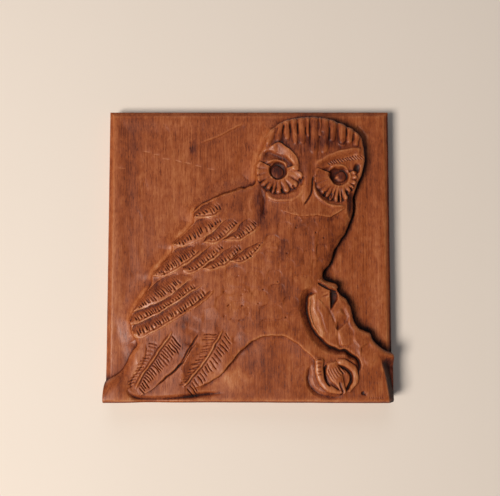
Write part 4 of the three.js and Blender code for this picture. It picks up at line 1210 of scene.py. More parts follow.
RIGHT_DISC = FaceDisc(
    outline=[(58, 73), (56.5, 66), (57, 58), (60.5, 51), (66, 46), (75, 43.5), (83, 45), (87, 52), (92, 59), (94, 66),
             (93, 73), (86, 76.5), (76, 77.5), (66, 76)],
    centre=(79.5, 67.5),
    petals=[(160, 22.5, -0.15, 0.2), (179, 22.5, -0.4, 0.3), (196, 22.5, -0.4, 0.3), (213, 22.5, -0.35, 0.4),
            (229, 22.5, -0.2, 0.7), (241, 23, -0.35, 0.9), (253, 23, -0.4, 1.0), (268, 22.5, 0.0, 0.8), (275, 21.5, -0.4, 1.0),
            (293, 16.5, -0.3, 0.9), (309, 16, -0.4, 0.9), (327, 15.5, -0.5, 0.9), (347, 15.5, -0.5, 0.7), (6, 15.5, -0.4, 0.5),
            (24, 13, 0.0, 0.0)],
    gaps=[[(66.4, 54.5), (65.4, 49.0)], [(72.6, 53), (71.0, 47.0)], [(78.6, 51), (78.4, 45.6)], [(85.8, 55), (86.4, 49.6)],
          [(88.2, 58), (90.6, 54.6)]],
    rim=[(55.8, 61), (57, 55.5), (59.5, 50), (64, 46), (70, 42.6), (76, 41.3), (84.5, 42)],
    rim_width=4.0, rim_rise=1.3,
)


@dataclass(frozen=True)
class LeftBrow:
    """A broad band over the left eye: highest along its upper edge, sloping down to a hollow."""

    rise: float = 2.1
    band: float = 7.0
    hollow_depth: float = 2.2

    def carve(self, relief: Relief) -> None:
        """Sink the hollow and raise the band.

        Args:
            relief: The carved front.
        """
        hollow = Stroke([(11, 88), (17, 88.5), (23, 86.5), (28, 84.6), (33, 82.0), (36.5, 78.5), (38.5, 74)])
        near = relief.measure(hollow, 8.0)
        width = np.where(near.side < 0, 7.0, 3.4)
        relief.height[near.window] -= self.hollow_depth * (1 - ramp(near.distance / width)) * fade_ends(near.share, 0.15)
        crest = Stroke([(16.5, 92.6), (20, 94.6), (25.2, 97.6), (30.5, 95), (35.6, 91), (40.4, 85.4), (43, 79.5), (43.4, 74), (42.6, 70)])
        near = relief.measure(crest, self.band)
        across = near.distance * -near.side
        ends = ramp(near.share / 0.12) * ramp((1 - near.share) / 0.2)
        band = np.where(across > 0, 1 - (across / self.band) ** 1.5, 1 - np.clip(-across / 0.8, 0, 1))
        relief.height[near.window] += self.rise * ends * np.clip(band, 0, 1)
        # Painted light on the band, which faces the light.
        painted_light = np.where(across > 0, 1 - ramp((across - 3.5) / 2.5), 1 - ramp(-across / 0.8))
        relief.tone[near.window] -= 0.35 * ends * painted_light
        # Painted shade just beyond the crest, where the band falls away; the hollow below is darker by stain.
        outline = [(x + 1.2, z + 1.0) for x, z in crest.points[8::6]]
        carve(relief, [TintLine(outline, 2.4, 0.5), TintLine(hollow.points, 7, 0.35), Tint(14, 84.5, 4, 3.4, 0.45)])


@dataclass(frozen=True)
class RightBrow:
    """A band over the right eye: a crest along its upper edge, a slope below it, then a row of short strokes."""

    rise: float = 1.7
    band: float = 6.5
    strokes: int = 14
    seed: int = 7

    def carve(self, relief: Relief) -> None:
        """Raise the band and cut the strokes.

        Args:
            relief: The carved front.
        """
        crest = Stroke([(56.5, 74.5), (60, 79.4), (66, 83.4), (73, 87), (81, 89.8), (90, 91.5), (99.5, 91)])
        near = relief.measure(crest, 8.0)
        across = near.distance * -near.side
        ends = ramp(near.share / 0.15) * ramp((1 - near.share) / 0.08)
        band = np.where(across > 0, 1 - (across / self.band) ** 1.4, 1 - np.clip(-across / 2.2, 0, 1))
        relief.height[near.window] += self.rise * ends * np.clip(band, 0, 1)
        lower = Stroke([(58, 72.5), (62, 76.4), (68, 80), (75, 82.6), (83, 84.8), (91, 86.6), (98.5, 87.6)])
        near = relief.measure(lower, 3.2)
        relief.height[near.window] -= 1.0 * fade_ends(near.share, 0.2) * (1 - ramp(near.distance / 3.0))
        random = np.random.default_rng(self.seed)
        place, _ = lower.at(np.linspace(0.3, 0.97, self.strokes))
        strokes: list[object] = []
        for (x, z), turn, size in zip(place, random.normal(0, 4, self.strokes), np.linspace(4.0, 6.6, self.strokes)):
            angle = math.radians(-44 + turn)
            line = np.array([(x, z - 0.4), (x + size * math.cos(angle), z - 0.4 + size * math.sin(angle))])
            # Each stroke is darker in its cut, with painted light on the wall at its lower left, which faces the light.
            strokes += [Groove(line, 0.8, 1.4, taper=0.2), TintLine(line, 1.1, 0.45), TintLine(line - (0.9, 0.9), 1.1, -0.5)]
        carve(
            relief,
            [
                # Painted highlight along the crest.
                TintLine(crest.points, 3.0, -0.35),
                TintLine([(70, 79), (80, 81.5), (92, 83)], 6, 0.25),
                *strokes,
                TintLine([(97, 87.5), (90, 86.2), (82, 84.2)], 2.2, -0.6),
                Dome(94.6, 74.5, 3.4, 5.5, -2.2),
                Tint(94, 75, 3.6, 5.5, 0.9), TintLine([(94, 76), (97.5, 79.5)], 2.0, 0.7),
            ],
        )


@dataclass(frozen=True)
class Beak:
    """The ridge between the eyes running down into the beak, and the smooth bib under the face."""

    def carve(self, relief: Relief) -> None:
        """Cut the lines beside the beak, raise its ridge and step the bib off the breast.

        Args:
            relief: The carved front.
        """
        right = [(56, 69), (55.4, 63), (55.2, 57), (54, 51.5), (51, 46.5), (47.5, 41.5)]
        bib = [(26, 37), (36, 33.2), (46, 31.2), (60, 31.8), (70, 30.6), (75, 32.6), (80, 35.8), (85.6, 40.5)]
        tongue = [(34, 33.5), (39, 32.8), (43, 30.6), (46, 26.5)]
        chip = [(47, 28.8), (50, 30.8), (55, 31.4), (60.5, 30)]
        carve(
            relief,
            [
                Groove(right, 1.5, 2.8, taper=0.12), TintLine(right, 1.8, 0.8),
                Groove([(47.8, 68), (46.6, 63.5), (44.6, 58.5)], 1.3, 3.4, taper=0.25),
                Ridge([(50.5, 86), (51, 70), (50.8, 60), (49.8, 52), (47.6, 44.5)], 1.0, 9, taper=0.25),
                Slope([(44.5, 60), (49, 60), (50, 50), (47.5, 42), (43.5, 47), (43, 54)], 0.16, 0.04, 2.0),
                # Painted light on the beak's left slope, which faces the light.
                TintArea([(45, 59), (49, 60), (50.4, 52), (48, 43), (44.4, 46), (44.2, 53)], -0.5, 2.0),
                TintArea([(49, 40), (60, 34), (74, 34), (83, 39), (72, 40), (62, 43), (55, 46)], -0.18, 3.0),
                TintLine([(52, 44), (56, 41), (62, 39.5)], 3, 0.2),
                Lip(bib, 1.6, 11, taper=0.12, wall=0.9), TintLine([(x + 0.3, z - 1.6) for x, z in bib], 2.4, 0.5),
                Tint(60, 29, 24, 3, 0.15),
                Dome(90.2, 42, 5.2, 13, -2.4), Tint(89.5, 44, 5, 12, 0.85), TintLine([(87, 52), (86.5, 47), (84, 42.6)], 2.4, 0.4),
                Groove([(9.5, 60), (12, 52), (13.5, 46), (13, 38), (12, 30)], 1.7, 8.5, power=1.4),
                Groove([(17, 57), (14.5, 53), (14.5, 47)], 0.7, 3, taper=0.3),
                Lip(tongue, 0.8, 4, taper=0.3), TintLine(tongue, 1.4, -0.6), TintLine([(x - 0.6, z - 1.3) for x, z in tongue], 1.5, 0.7),
                Lip(chip, 0.8, 4, taper=0.3), TintLine(chip, 1.4, -0.9), Tint(44, 24, 8, 4, 0.25),
            ],
        )


class EdgeLine(Enum):
    """How the lower edge of a feather ends: with a thin line inside it, or plain."""

    DOUBLE = "double"
    PLAIN = "plain"


@dataclass(frozen=True)
class Feather:
    """A wing feather, its edges given from the tip inward, with a row of nicks between two shares of its length."""

    upper: Sequence[Point]
    lower: Sequence[Point]
    nicks: int
    start: float
    end: float
    edge: EdgeLine = EdgeLine.DOUBLE
    tip_sheen: float = 0.5

    def lay(self, relief: Relief, low: float, high: float, crest: float, roll: float) -> None:
        """Lay the feather like a shingle: low along its upper edge, a crest, then rolled over to its lower edge.

        Its upper half holds more stain, and a band of painted sheen runs along its lower edge, brightest at the tip.

        Args:
            relief: The carved front.
            low: Height at the upper edge.
            high: Height at the crest.
            crest: Share of the width where the crest runs.
            roll: Drop from the crest to the lower edge.
        """
        top, bottom = Stroke(self.upper), Stroke(self.lower)
        ring = Stroke(np.vstack([top.points, bottom.points[::-1]]), closed=True, smooth=False)
        window = relief.around(ring, 1.0)
        held = relief.inside(ring, window)
        above, below = (self._over(relief, line, window) for line in (top, bottom))
        across = above[0] / (above[0] + below[0] + 1e-9)
        rise = low + (high - low) * ramp(across / crest)
        fall = roll * ramp((across - crest) / (1 - crest))
        inner = 1 - ramp((below[1] - 0.75) / 0.25)
        relief.height[window] = np.where(held, relief.body[window] + (rise - fall) * inner, relief.height[window])
        dark = 0.35 * (1 - ramp((across - 0.35) / 0.35)) * ramp(above[0] / 0.8)
        # Painted sheen along the lower band, which faces the light, brightest near the tip.
        painted_light = 0.45 * ramp((across - 0.55) / 0.2) * (0.5 + self.tip_sheen * (1 - ramp(below[1] / 0.5)))
        relief.tone[window] += np.where(held, (dark - painted_light) * inner, 0.0)

    @staticmethod
    def _over(relief: Relief, line: Stroke, window: Window) -> tuple[Array, Array]:
        """Distance and share of a line over a given window.

        Args:
            relief: The carved front.
            line: The line.
            window: The window.

        Returns:
            The distance, at most 24, and the share of the length.
        """
        near = relief.measure(line, 24.0)
        distance = np.full_like(relief.x, 24.0)
        share = np.zeros_like(relief.x)
        distance[near.window], share[near.window] = near.distance, near.share
        return distance[window], share[window]

    def edge_line(self, relief: Relief) -> None:
        """Cut the thin line just inside the lower edge, darker in the line, with painted light along the lower edge and
        beside the line.

        Args:
            relief: The carved front.
        """
        lower = Stroke(self.lower)
        # Painted light along the lower edge, which faces the light.
        forms: list[object] = [TintLine(self.lower, 2.2, -0.7)]
        if self.edge is EdgeLine.DOUBLE:
            inner = lower.beside(1.9, 0.06, 0.94)
            forms += [Groove(inner.points, 0.6, 1.4, taper=0.12), TintLine(inner.points, 1.3, 0.5)]
            forms.append(TintLine(lower.beside(3.0, 0.06, 0.94).points, 1.6, -0.45))
        carve(relief, forms)

    def nick(self, relief: Relief, depth: float, width: float, random: np.random.Generator) -> None:
        """Cut the nicks across the feather, all nearly square to its chord.

        Args:
            relief: The carved front.
            depth: Depth of a nick.
            width: Width of a nick.
            random: Source of the small differences between nicks.
        """
        edge, lower = Stroke(self.upper), Stroke(self.lower)
        chord = np.subtract(self.upper[-1], self.upper[0])
        square = math.atan2(chord[1], chord[0]) - math.pi / 2
        place, _ = edge.at(np.linspace(self.start, self.end, self.nicks))
        for x, z in place:
            angle = square + random.normal(0, 0.05)
            nx, nz = math.cos(angle), math.sin(angle)
            gap = float(np.hypot(lower.points[:, 0] - x, lower.points[:, 1] - z).min())
            begin = gap * (0.1 + 0.08 * random.random())
            length = max(2.2, gap * 0.68) * (1 + 0.08 * random.normal())
            start = (x + nx * begin, z + nz * begin)
            end = (start[0] + nx * length, start[1] + nz * length)
            deep = float(depth * (0.55 + 0.45 * ramp((gap - 3) / 5)) * (1 + 0.15 * random.normal()))
            turn = (start[0] + 0.5 * (end[0] - start[0]), start[1] + 0.5 * (end[1] - start[1]))
            # Painted light along each nick's first half and painted shade in its deep end.
            carve(relief, [Nick(start, end, deep, width), TintLine([start, turn], 1.1, -0.45), TintLine([turn, end], 1.7, 0.5)])


FEATHERS = (
    Feather(
        [(-101.5, -66), (-99, -61.5), (-88, -56.5), (-80, -53), (-70, -47), (-60, -41), (-50, -34), (-38, -26)],
        [(-99, -73), (-92, -72.5), (-80, -66.5), (-65, -58), (-50, -48), (-40, -40.5), (-30, -31)], 26, 0.06, 0.93,
    ),
    Feather(
        [(-103, -58), (-100, -51), (-90, -47), (-80, -43), (-70, -38), (-62, -32), (-55, -26), (-45, -19)],
        [(-103, -62), (-95, -60), (-80, -53), (-70, -47), (-60, -41), (-50, -34), (-37, -25)], 25, 0.09, 0.9,
    ),
    Feather(
        [(-100, -48), (-96, -42), (-92, -36), (-83, -27), (-78, -23), (-72, -20), (-65, -17.5)],
        [(-100.5, -50.5), (-90, -47), (-80, -43), (-70, -38), (-62, -32), (-55, -26), (-47, -20)], 19, 0.1, 0.97,
        EdgeLine.PLAIN,
    ),
    Feather(
        [(-40, -12), (-34, -8), (-29, -4.5), (-22, 1.5), (-14, 7), (-8, 9)],
        [(-40, -14), (-33, -15), (-27, -13.5), (-20, -11), (-15, -7), (-8, 0), (-5, 5)], 12, 0.2, 0.93,
    ),
    Feather(
        [(-57, -12), (-50, -7), (-44, -2), (-37, 4), (-30, 8), (-24, 9)],
        [(-57, -17), (-50, -17.5), (-45, -15.5), (-40, -12), (-35, -8), (-30, -4.5), (-22, 2)], 14, 0.1, 0.95,
    ),
    Feather(
        [(-84, -18), (-80, -13), (-75, -7), (-69, -1), (-64, 4), (-57, 5.5), (-50, 7)],
        [(-84, -19), (-76, -20), (-70, -18), (-60, -13), (-50, -6), (-45, -2), (-37, 5)], 20, 0.04, 0.95,
    ),
    Feather(
        [(-16, -6), (-10, -1), (-4, 3.5), (3, 7), (9, 10), (14, 12.5)],
        [(-16, -7), (-8, -9), (-3, -7), (3, -3), (8, 2), (12, 7), (14.5, 12)], 9, 0.22, 0.9,
    ),
    Feather(
        [(-22, 12), (-17, 16), (-11, 20), (-7, 26), (-2, 30), (4, 31)],
        [(-22, 11), (-15, 10.5), (-8, 11), (-3, 13.5), (3, 17.5), (8, 22), (11, 26)], 9, 0.3, 0.95,
    ),
    Feather(
        [(-40, 10.5), (-36, 15), (-30, 19.5), (-24, 26), (-19, 29.5), (-13, 31)],
        [(-40, 10), (-35, 8.5), (-30, 8.5), (-25, 10.5), (-20, 14), (-15, 19), (-7, 27)], 11, 0.2, 0.95,
    ),
    Feather(
        [(-67, 8), (-60, 15), (-50, 25), (-46, 29), (-40, 31), (-30, 31), (-23, 33)],
        [(-67, 7), (-60, 5.8), (-52, 8), (-45, 11), (-35, 16.5), (-30, 20), (-24, 26)], 18, 0.08, 0.93,
        EdgeLine.PLAIN,
    ),
    Feather(
        [(-49, 32), (-47, 36.5), (-42, 41), (-36, 45), (-29, 48)],
        [(-49, 31.5), (-40, 31.5), (-33, 32), (-28, 34), (-23, 37)], 8, 0.16, 0.95,
    ),
)


@dataclass(frozen=True)
class Wing:
    """The folded wing: rows of feathers lying over each other, each with its nicks."""

    low: float = -0.8
    high: float = 1.1
    crest: float = 0.6
    roll: float = 0.5
    nick_depth: float = 1.2
    nick_width: float = 1.9
    seed: int = 4

    def carve(self, relief: Relief) -> None:
        """Lay the feathers from the lowest row up, then cut their lines and nicks.

        Args:
            relief: The carved front.
        """
        relief.body = relief.height.copy()
        random = np.random.default_rng(self.seed)
        for feather in FEATHERS:
            feather.lay(relief, self.low, self.high, self.crest, self.roll)
            feather.edge_line(relief)
        for feather in FEATHERS:
            feather.nick(relief, self.nick_depth, self.nick_width, random)
        carve(
            relief,
            [
                Groove([(-45, 43), (-36, 47.6), (-28, 50.6), (-19, 54), (-9, 57.2), (0, 59.2)], 1.0, 2.0, taper=0.12),
                Groove([(-57, -52), (-48, -45.5), (-40, -39.5), (-31, -31)], 1.3, 3.0, taper=0.2),
                Ridge([(-50, -48.8), (-42, -43), (-35, -37), (-29, -30.6)], 0.7, 2.6),
            ],
        )


@dataclass(frozen=True)
class BarbRow:
    """Barbs cut beside a feather's shaft, from its root to its tip; lengths and angles run from first to last."""

    shaft: Sequence[Point]
    count: int
    start: float
    end: float
    length: tuple[float, float]
    angle: tuple[float, float]
    depth: float
    width: float = 1.3
    gap: float = 2.0
    painted_light: float = 0.2

    def carve(self, relief: Relief, random: np.random.Generator) -> None:
        """Cut the barbs, each darker in its cut, with painted light on the wall of its upper side, which faces the
        light.

        Args:
            relief: The carved front.
            random: Source of the small differences between barbs.
        """
        place, _ = Stroke(self.shaft).at(np.linspace(self.start, self.end, self.count))
        for k, (x, z) in enumerate(place):
            t = k / (self.count - 1)
            angle = math.radians(self.angle[0] + (self.angle[1] - self.angle[0]) * t + random.normal(0, 2.0))
            dx, dz = math.cos(angle), math.sin(angle)
            length = (self.length[0] + (self.length[1] - self.length[0]) * t) * (1 + 0.12 * random.normal())
            gap = self.gap + 0.4 * random.normal()
            start = np.array([x + dx * gap, z + dz * gap])
            along = np.array([dx, dz])
            bend = np.array([-dz, dx]) * 0.3 * random.normal()
            line = np.array([start, start + along * length / 2 + bend, start + along * length])
            deep = self.depth * (1 + 0.2 * random.normal())
            # Painted light on the barb's upper wall.
            rim = line + np.array([-dz, dx]) * (0.8 if dz < 0 else -0.8)
            carve(
                relief,
                [
                    Groove(line, deep, self.width, taper=0.15),
                    TintLine(line, 1.4, 0.3),
                    TintLine(rim, 1.3, -self.painted_light),
                ],
            )


@dataclass(frozen=True)
class Tail:
    """Two long tail feathers, each with a shaft and barbs on both sides."""

    left_shaft: tuple[Point, ...] = ((-66, -67), (-70, -73.5), (-75, -80), (-85, -95), (-93, -107), (-97, -117))
    right_shaft: tuple[Point, ...] = ((-22.5, -65), (-30, -79.5), (-38, -92), (-47, -104), (-57, -115))
    seed: int = 9

    def carve(self, relief: Relief) -> None:
        """Cut the feathers' edges, raise their shafts and cut the barbs.

        Args:
            relief: The carved front.
        """
        random = np.random.default_rng(self.seed)
        middle_edge = [(-42, -67), (-45, -72), (-50, -80), (-56, -90), (-60, -97), (-70, -105.5), (-80, -114)]
        left_edge = [(-45, -75), (-47, -78), (-52, -85), (-57, -93), (-59, -103), (-57.5, -114)]
        outer_edge = [(-88.5, -77), (-88.8, -85), (-90, -92), (-95, -101), (-101, -110), (-100, -118)]
        right_edge = [(-5, -82), (-12, -90), (-20, -99), (-28, -106), (-38, -112), (-45, -115.5)]
        carve(
            relief,
            [
                TintArea([(-64, -66), (-44, -70), (-56, -90), (-72, -106), (-90, -116), (-97, -117), (-80, -88)], 0.12, 6),
                Lip([(-47, -79), (-55, -92.5), (-66, -103), (-78, -114), (-85, -119), (-93, -123)], 1.5, 12, side=-1, taper=0.05),
                Lip(left_edge, 1.2, 9, taper=0.08),
                Lip(right_edge, -0.6, 6, taper=0.1, wall=0.6),
                Groove(outer_edge, 0.7, 2.0, taper=0.1),
                Groove(middle_edge, 1.2, 2.4, taper=0.12),
                # Painted light on the step beside the middle edge, which faces the light.
                TintLine(middle_edge, 2.4, 0.5), TintLine([(x + 1.6, z - 1.2) for x, z in middle_edge[2:]], 1.8, -0.45),
                TintLine(left_edge, 2.2, -0.45), TintLine(outer_edge, 1.6, 0.3), TintLine(right_edge, 1.6, 0.45),
                TintLine([(-93, -74), (-94, -84), (-97, -96), (-100.5, -106)], 7, -0.45),
                Tint(-56, -82, 9, 12, 0.35, turn=35), Tint(-45, -84, 4, 14, 0.2, turn=25),
                # The pale oval at the tip of the left feather is a painted highlight.
                Tint(-82, -104, 12, 6, -0.3, turn=50), Tint(-56, -98, 6, 8, 0.3, turn=30), Tint(-92, -100, 4, 12, -0.1),
                Tint(-50, -121, 12, 3.5, 0.5), Tint(-60, -112, 6, 7, 0.2), Tint(-24, -100, 8, 14, -0.1, turn=40),
                Tint(-12, -108, 24, 10, -0.3), Tint(10, -96, 14, 10, 0.15), Tint(-5, -90, 12, 9, 0.0),
            ],
        )
        for shaft in (self.left_shaft, self.right_shaft):
            line = Stroke(shaft)
            beside = [line.beside(offset, 0.02, 0.97).points for offset in (-1.5, 1.5)]
            carve(
                relief,
                [
                    Ridge(shaft, 0.9, 2.6, taper=0.06),
                    *[Groove(points, 0.6, 1.3, taper=0.1) for points in beside],
                    *[TintLine(points, 1.2, 0.3) for points in beside],
                    TintLine(shaft, 2.0, -0.5, taper=0.06),
                ],
            )
        rows = (
            BarbRow(self.left_shaft, 22, 0.06, 0.93, (13, 7.5), (-46, -50), 1.0),
            BarbRow(self.left_shaft, 14, 0.27, 0.9, (6.5, 7), (168, 205), 0.55, width=1.6, gap=3.6),
            BarbRow(self.right_shaft, 18, 0.0, 0.95, (11, 8.5), (-48, -56), 0.9, width=1.2, gap=2.6),
            BarbRow(self.right_shaft, 20, 0.08, 0.9, (11, 5), (183, 200), 0.65, width=1.5),
        )
        for row in rows:
            row.carve(relief, random)


@dataclass(frozen=True)
class Rock:
    """The boulder on the right: a ledge over it, a cleft, and the deep cut that parts it from body and leg."""

    cut_depth: float = 4.4

    def carve(self, relief: Relief) -> None:
        """Cut the ledge, the cleft, the deep cut and the boulder's planes.

        Args:
            relief: The carved front.
        """
        under = [(59, -24.5), (62, -27), (67, -29.8), (72, -32), (77, -33)]
        carve(
            relief,
            [
                Lip([(58, -23), (61, -25.2), (66, -28.2), (71, -30.4), (76.5, -32.5)], 1.8, 5, taper=0.15, wall=0.7),
                # Painted shadow under the ledge and painted light along its top edge.
                Groove(under, 1.8, 2.8, taper=0.15), TintLine(under, 2.4, 1.2),
                TintLine([(61, -22.6), (67, -26), (72.4, -28.6), (75.6, -30)], 3.2, -0.5),
                Area([(69.5, -32), (77, -33.5), (77, -41), (73.6, -46), (70.6, -49.4), (69.6, -42)], -3.2, 2.6),
                TintArea([(71.4, -32.5), (77.6, -33.5), (77, -41), (73.4, -46.6), (70.4, -50), (70.4, -42)], 0.8, 2.4),
                TintLine([(75.2, -35), (75, -44)], 1.4, -0.6),
            ],
        )
        cut = Stroke([
            (59, -33), (53.5, -35), (50.7, -39), (50, -45), (50.6, -52), (53, -60), (57, -68), (61, -73), (66, -77.7),
            (71, -80.7), (77, -82.6), (83, -84), (88, -87.3), (92.3, -90), (94.8, -94.5), (94.3, -100), (93, -104),
        ])
        near = relief.measure(cut, 8.0)
        ends = ramp(near.share / 0.07) * ramp((1 - near.share) / 0.14)
        left = near.side > 0
        reach = np.where(left, 1.8, 7.0 - 3.0 * ramp((near.share - 0.5) / 0.3))
        profile = np.clip(1 - near.distance / reach, 0, 1) ** np.where(left, 1.0, 1.3)
        relief.height[near.window] -= self.cut_depth * ends * profile
        face = [(52.4, -38), (57, -36.5), (57, -46), (60, -54), (63, -61), (65, -69), (62, -72), (56.6, -64), (52.6, -53)]
        carve(
            relief,
            [
                # Darker in the deep cut, dirt and painted shade together; painted shade on the slopes beside it that
                # turn away from the light; painted light on the boulder's face, which turns to it.
                TintLine(cut.points[4:], 2.6, 0.9, taper=0.08),
                TintLine([(46.5, -40), (46.4, -50), (49.6, -61), (55, -70), (61, -76)], 6.5, 0.45, taper=0.15),
                TintLine([(66, -80), (74, -84.4), (82, -86.4), (89, -91)], 5, 0.4, taper=0.15),
                Slope(face, 0.24, 0.05, 1.6, rise=-0.5),
                TintArea(face, -0.85, 1.8), TintArea([(56, -37), (66, -35), (69, -42), (64, -45), (58, -42)], -0.35, 3),
                Slope([(60, -39), (67, -46), (72, -56), (75, -68), (69, -72), (65, -64), (62, -54), (58.5, -46)],
                      -0.08, 0.0, 1.6, rise=0.3),
                Tint(59, -46, 3, 6, 0.25, turn=15), TintLine([(63, -37), (67, -45), (71, -51), (75, -58), (76, -66)], 2.6, 0.35),
                Groove([(67.5, -45), (70, -50), (73, -57), (75, -66)], 0.9, 3.2, taper=0.3),
                Facets([(76, -40), (84, -46), (90, -60), (104, -74), (112, -86), (104, -100), (90, -84), (74, -78)],
                       pitch=12, tilt=0.09, rise=0.3, edge=4, seed=17, stretch=1.3),
                TintLine([(82, -41), (86.5, -48), (87.6, -56), (88, -64)], 6, 0.4), TintLine([(79, -48), (80.6, -58), (80, -66)], 3, 0.2),
                Tint(76, -73, 12, 6, -0.2, turn=-20), Tint(66, -66, 6, 10, -0.1), Tint(104, -80, 8, 6, -0.05),
                Groove([(62, -38), (66, -36.5), (70, -34.5)], 0.7, 2.2, taper=0.3),
                *[TintLine([(x, z), (x + 3.4, z + 1.0)], 1.6, -0.8) for x, z in ((62.6, -33), (64, -35.4), (66, -37.8))],
                *[TintLine([(x, z), (x + 3.4, z + 1.0)], 1.2, 0.5) for x, z in ((62.6, -34.3), (64, -36.7), (66.4, -39))],
            ],
        )


@dataclass(frozen=True)
class Leg:
    """The belly and leg standing over the smooth ground below them, and the foot on the rock."""

    arch: tuple[Point, ...] = (
        (-50, -117), (-40, -113), (-33, -110), (-26, -106), (-20, -100), (-10, -87.5), (0, -77.5), (8, -72.3),
        (17, -70.5), (30, -71), (38, -75), (48, -83), (55, -90), (57.2, -97),
    )
    rise: float = 1.2
    sink: float = 1.3

    def carve(self, relief: Relief) -> None:
        """Raise the arch's edge, sink the ground under it and cut the foot.

        Args:
            relief: The carved front.
        """
        near = relief.measure(Stroke(self.arch), 26.0)
        ends = ramp(near.share / 0.12) * ramp((1 - near.share) / 0.05)
        above = self.rise * np.clip(near.distance / 0.9, 0, 1) * (1 - ramp(near.distance / 14))
        below = -self.sink * (1 - ramp(near.distance / 24))
        relief.height[near.window] += ends * np.where(near.side > 0, above, below)
        carve(
            relief,
            [
                Ridge(self.arch[5:], 0.5, 2.2, taper=0.1),
                # Painted light along the arch's edge, which faces the light.
                TintLine(self.arch[6:], 2.6, -0.5), TintLine([(x, z - 2.4) for x, z in self.arch[5:11]], 3.0, 0.25),
                TintArea([(50, -76), (56, -80), (66, -86), (63, -90), (57, -88), (49, -82)], -0.25, 3),
                *self.foot(),
            ],
        )

    def foot(self) -> list[object]:
        """The foot: a hollow around it, three toes, the lines between them and the strokes on them.

        Returns:
            The forms, in order.
        """
        strokes: list[object] = []
        for k in range(6):
            line = [(66.8 + 2.0 * k, -98 + 0.6 * k), (69.6 + 2.1 * k, -103.4 + 0.9 * k), (73.4 + 2.0 * k, -109 + 1.2 * k)]
            strokes += [Groove(line, 0.7, 1.4, taper=0.2), TintLine(line, 1.2, 0.4)]
            strokes.append(TintLine([(x + 1.0, z + 0.3) for x, z in line], 1.0, -0.45))
        notches: list[object] = []
        for k in range(5):
            line = [(58, -91 - 3.2 * k), (62.4, -90.4 - 3.2 * k)]
            notches += [Groove(line, 0.8, 1.6, taper=0.3), TintLine(line, 1.4, 0.5)]
        left_toe = [(60, -88), (59.8, -95), (60, -102), (62, -108.5), (66.5, -114), (72.5, -117), (78, -118.5)]
        right_toe = [(74, -92), (82, -93.6), (88, -97.5), (91, -103.5), (90, -110.5), (85.5, -117)]
        inner = [(66.5, -94), (65, -99), (64.8, -104.5), (66.3, -110), (70.5, -114)]
        crescent = [(77, -96), (82.5, -99), (86.4, -103), (87.2, -107.5), (86, -112), (82.6, -117.5)]
        claw = [(77, -108.5), (78, -113), (80, -118), (77, -121)]
        return [
            Groove([(54, -94), (51.5, -101), (51.5, -109), (53.5, -115), (59, -119.5), (66, -122), (74, -123), (81, -121)],
                   2.0, 7, taper=0.2, power=1.2),
            # Painted shade in the hollow around the foot.
            TintLine([(52, -96), (51, -104), (52, -111), (55.5, -117), (61, -121), (70, -123)], 5.5, 0.35),
            Finger(left_toe, 7.4, 2.8), Finger(right_toe, 6.0, 2.4),
            Finger([(69, -92), (71, -98), (73.5, -104), (77, -110), (80.3, -117.5)], 12, 2.4, thinning=0.6),
            Groove(inner, 2.3, 2.8, taper=0.12), TintLine(inner, 2.6, 0.9),
            Groove(crescent, 2.4, 3.6, taper=0.15), TintLine(crescent, 3.4, 0.8),
            Groove(claw, 1.7, 2.6, taper=0.2), TintLine(claw, 2.2, 0.8),
            # Painted light along the toes, which face the light.
            TintLine([(x - 1.4, z) for x, z in left_toe], 4.0, -0.6), TintLine(right_toe, 4.0, -0.5),
            TintLine([(81, -93), (87.4, -97.8), (91.6, -105), (90.4, -112)], 1.6, -0.5),
            TintLine([(79.6, -110), (80.6, -114), (81.4, -118.4)], 2.4, -0.5),
            TintLine([(83, -91), (90, -94.6), (93.6, -100), (93.4, -106)], 2.6, 0.55),
            *[TintLine([(x, z), (x + 1.4, z - 1.8)], 1.2, 0.6) for x, z in ((79, -92.6), (82.4, -93.4), (85.6, -95.4))],
            *strokes,
            *notches,
        ]


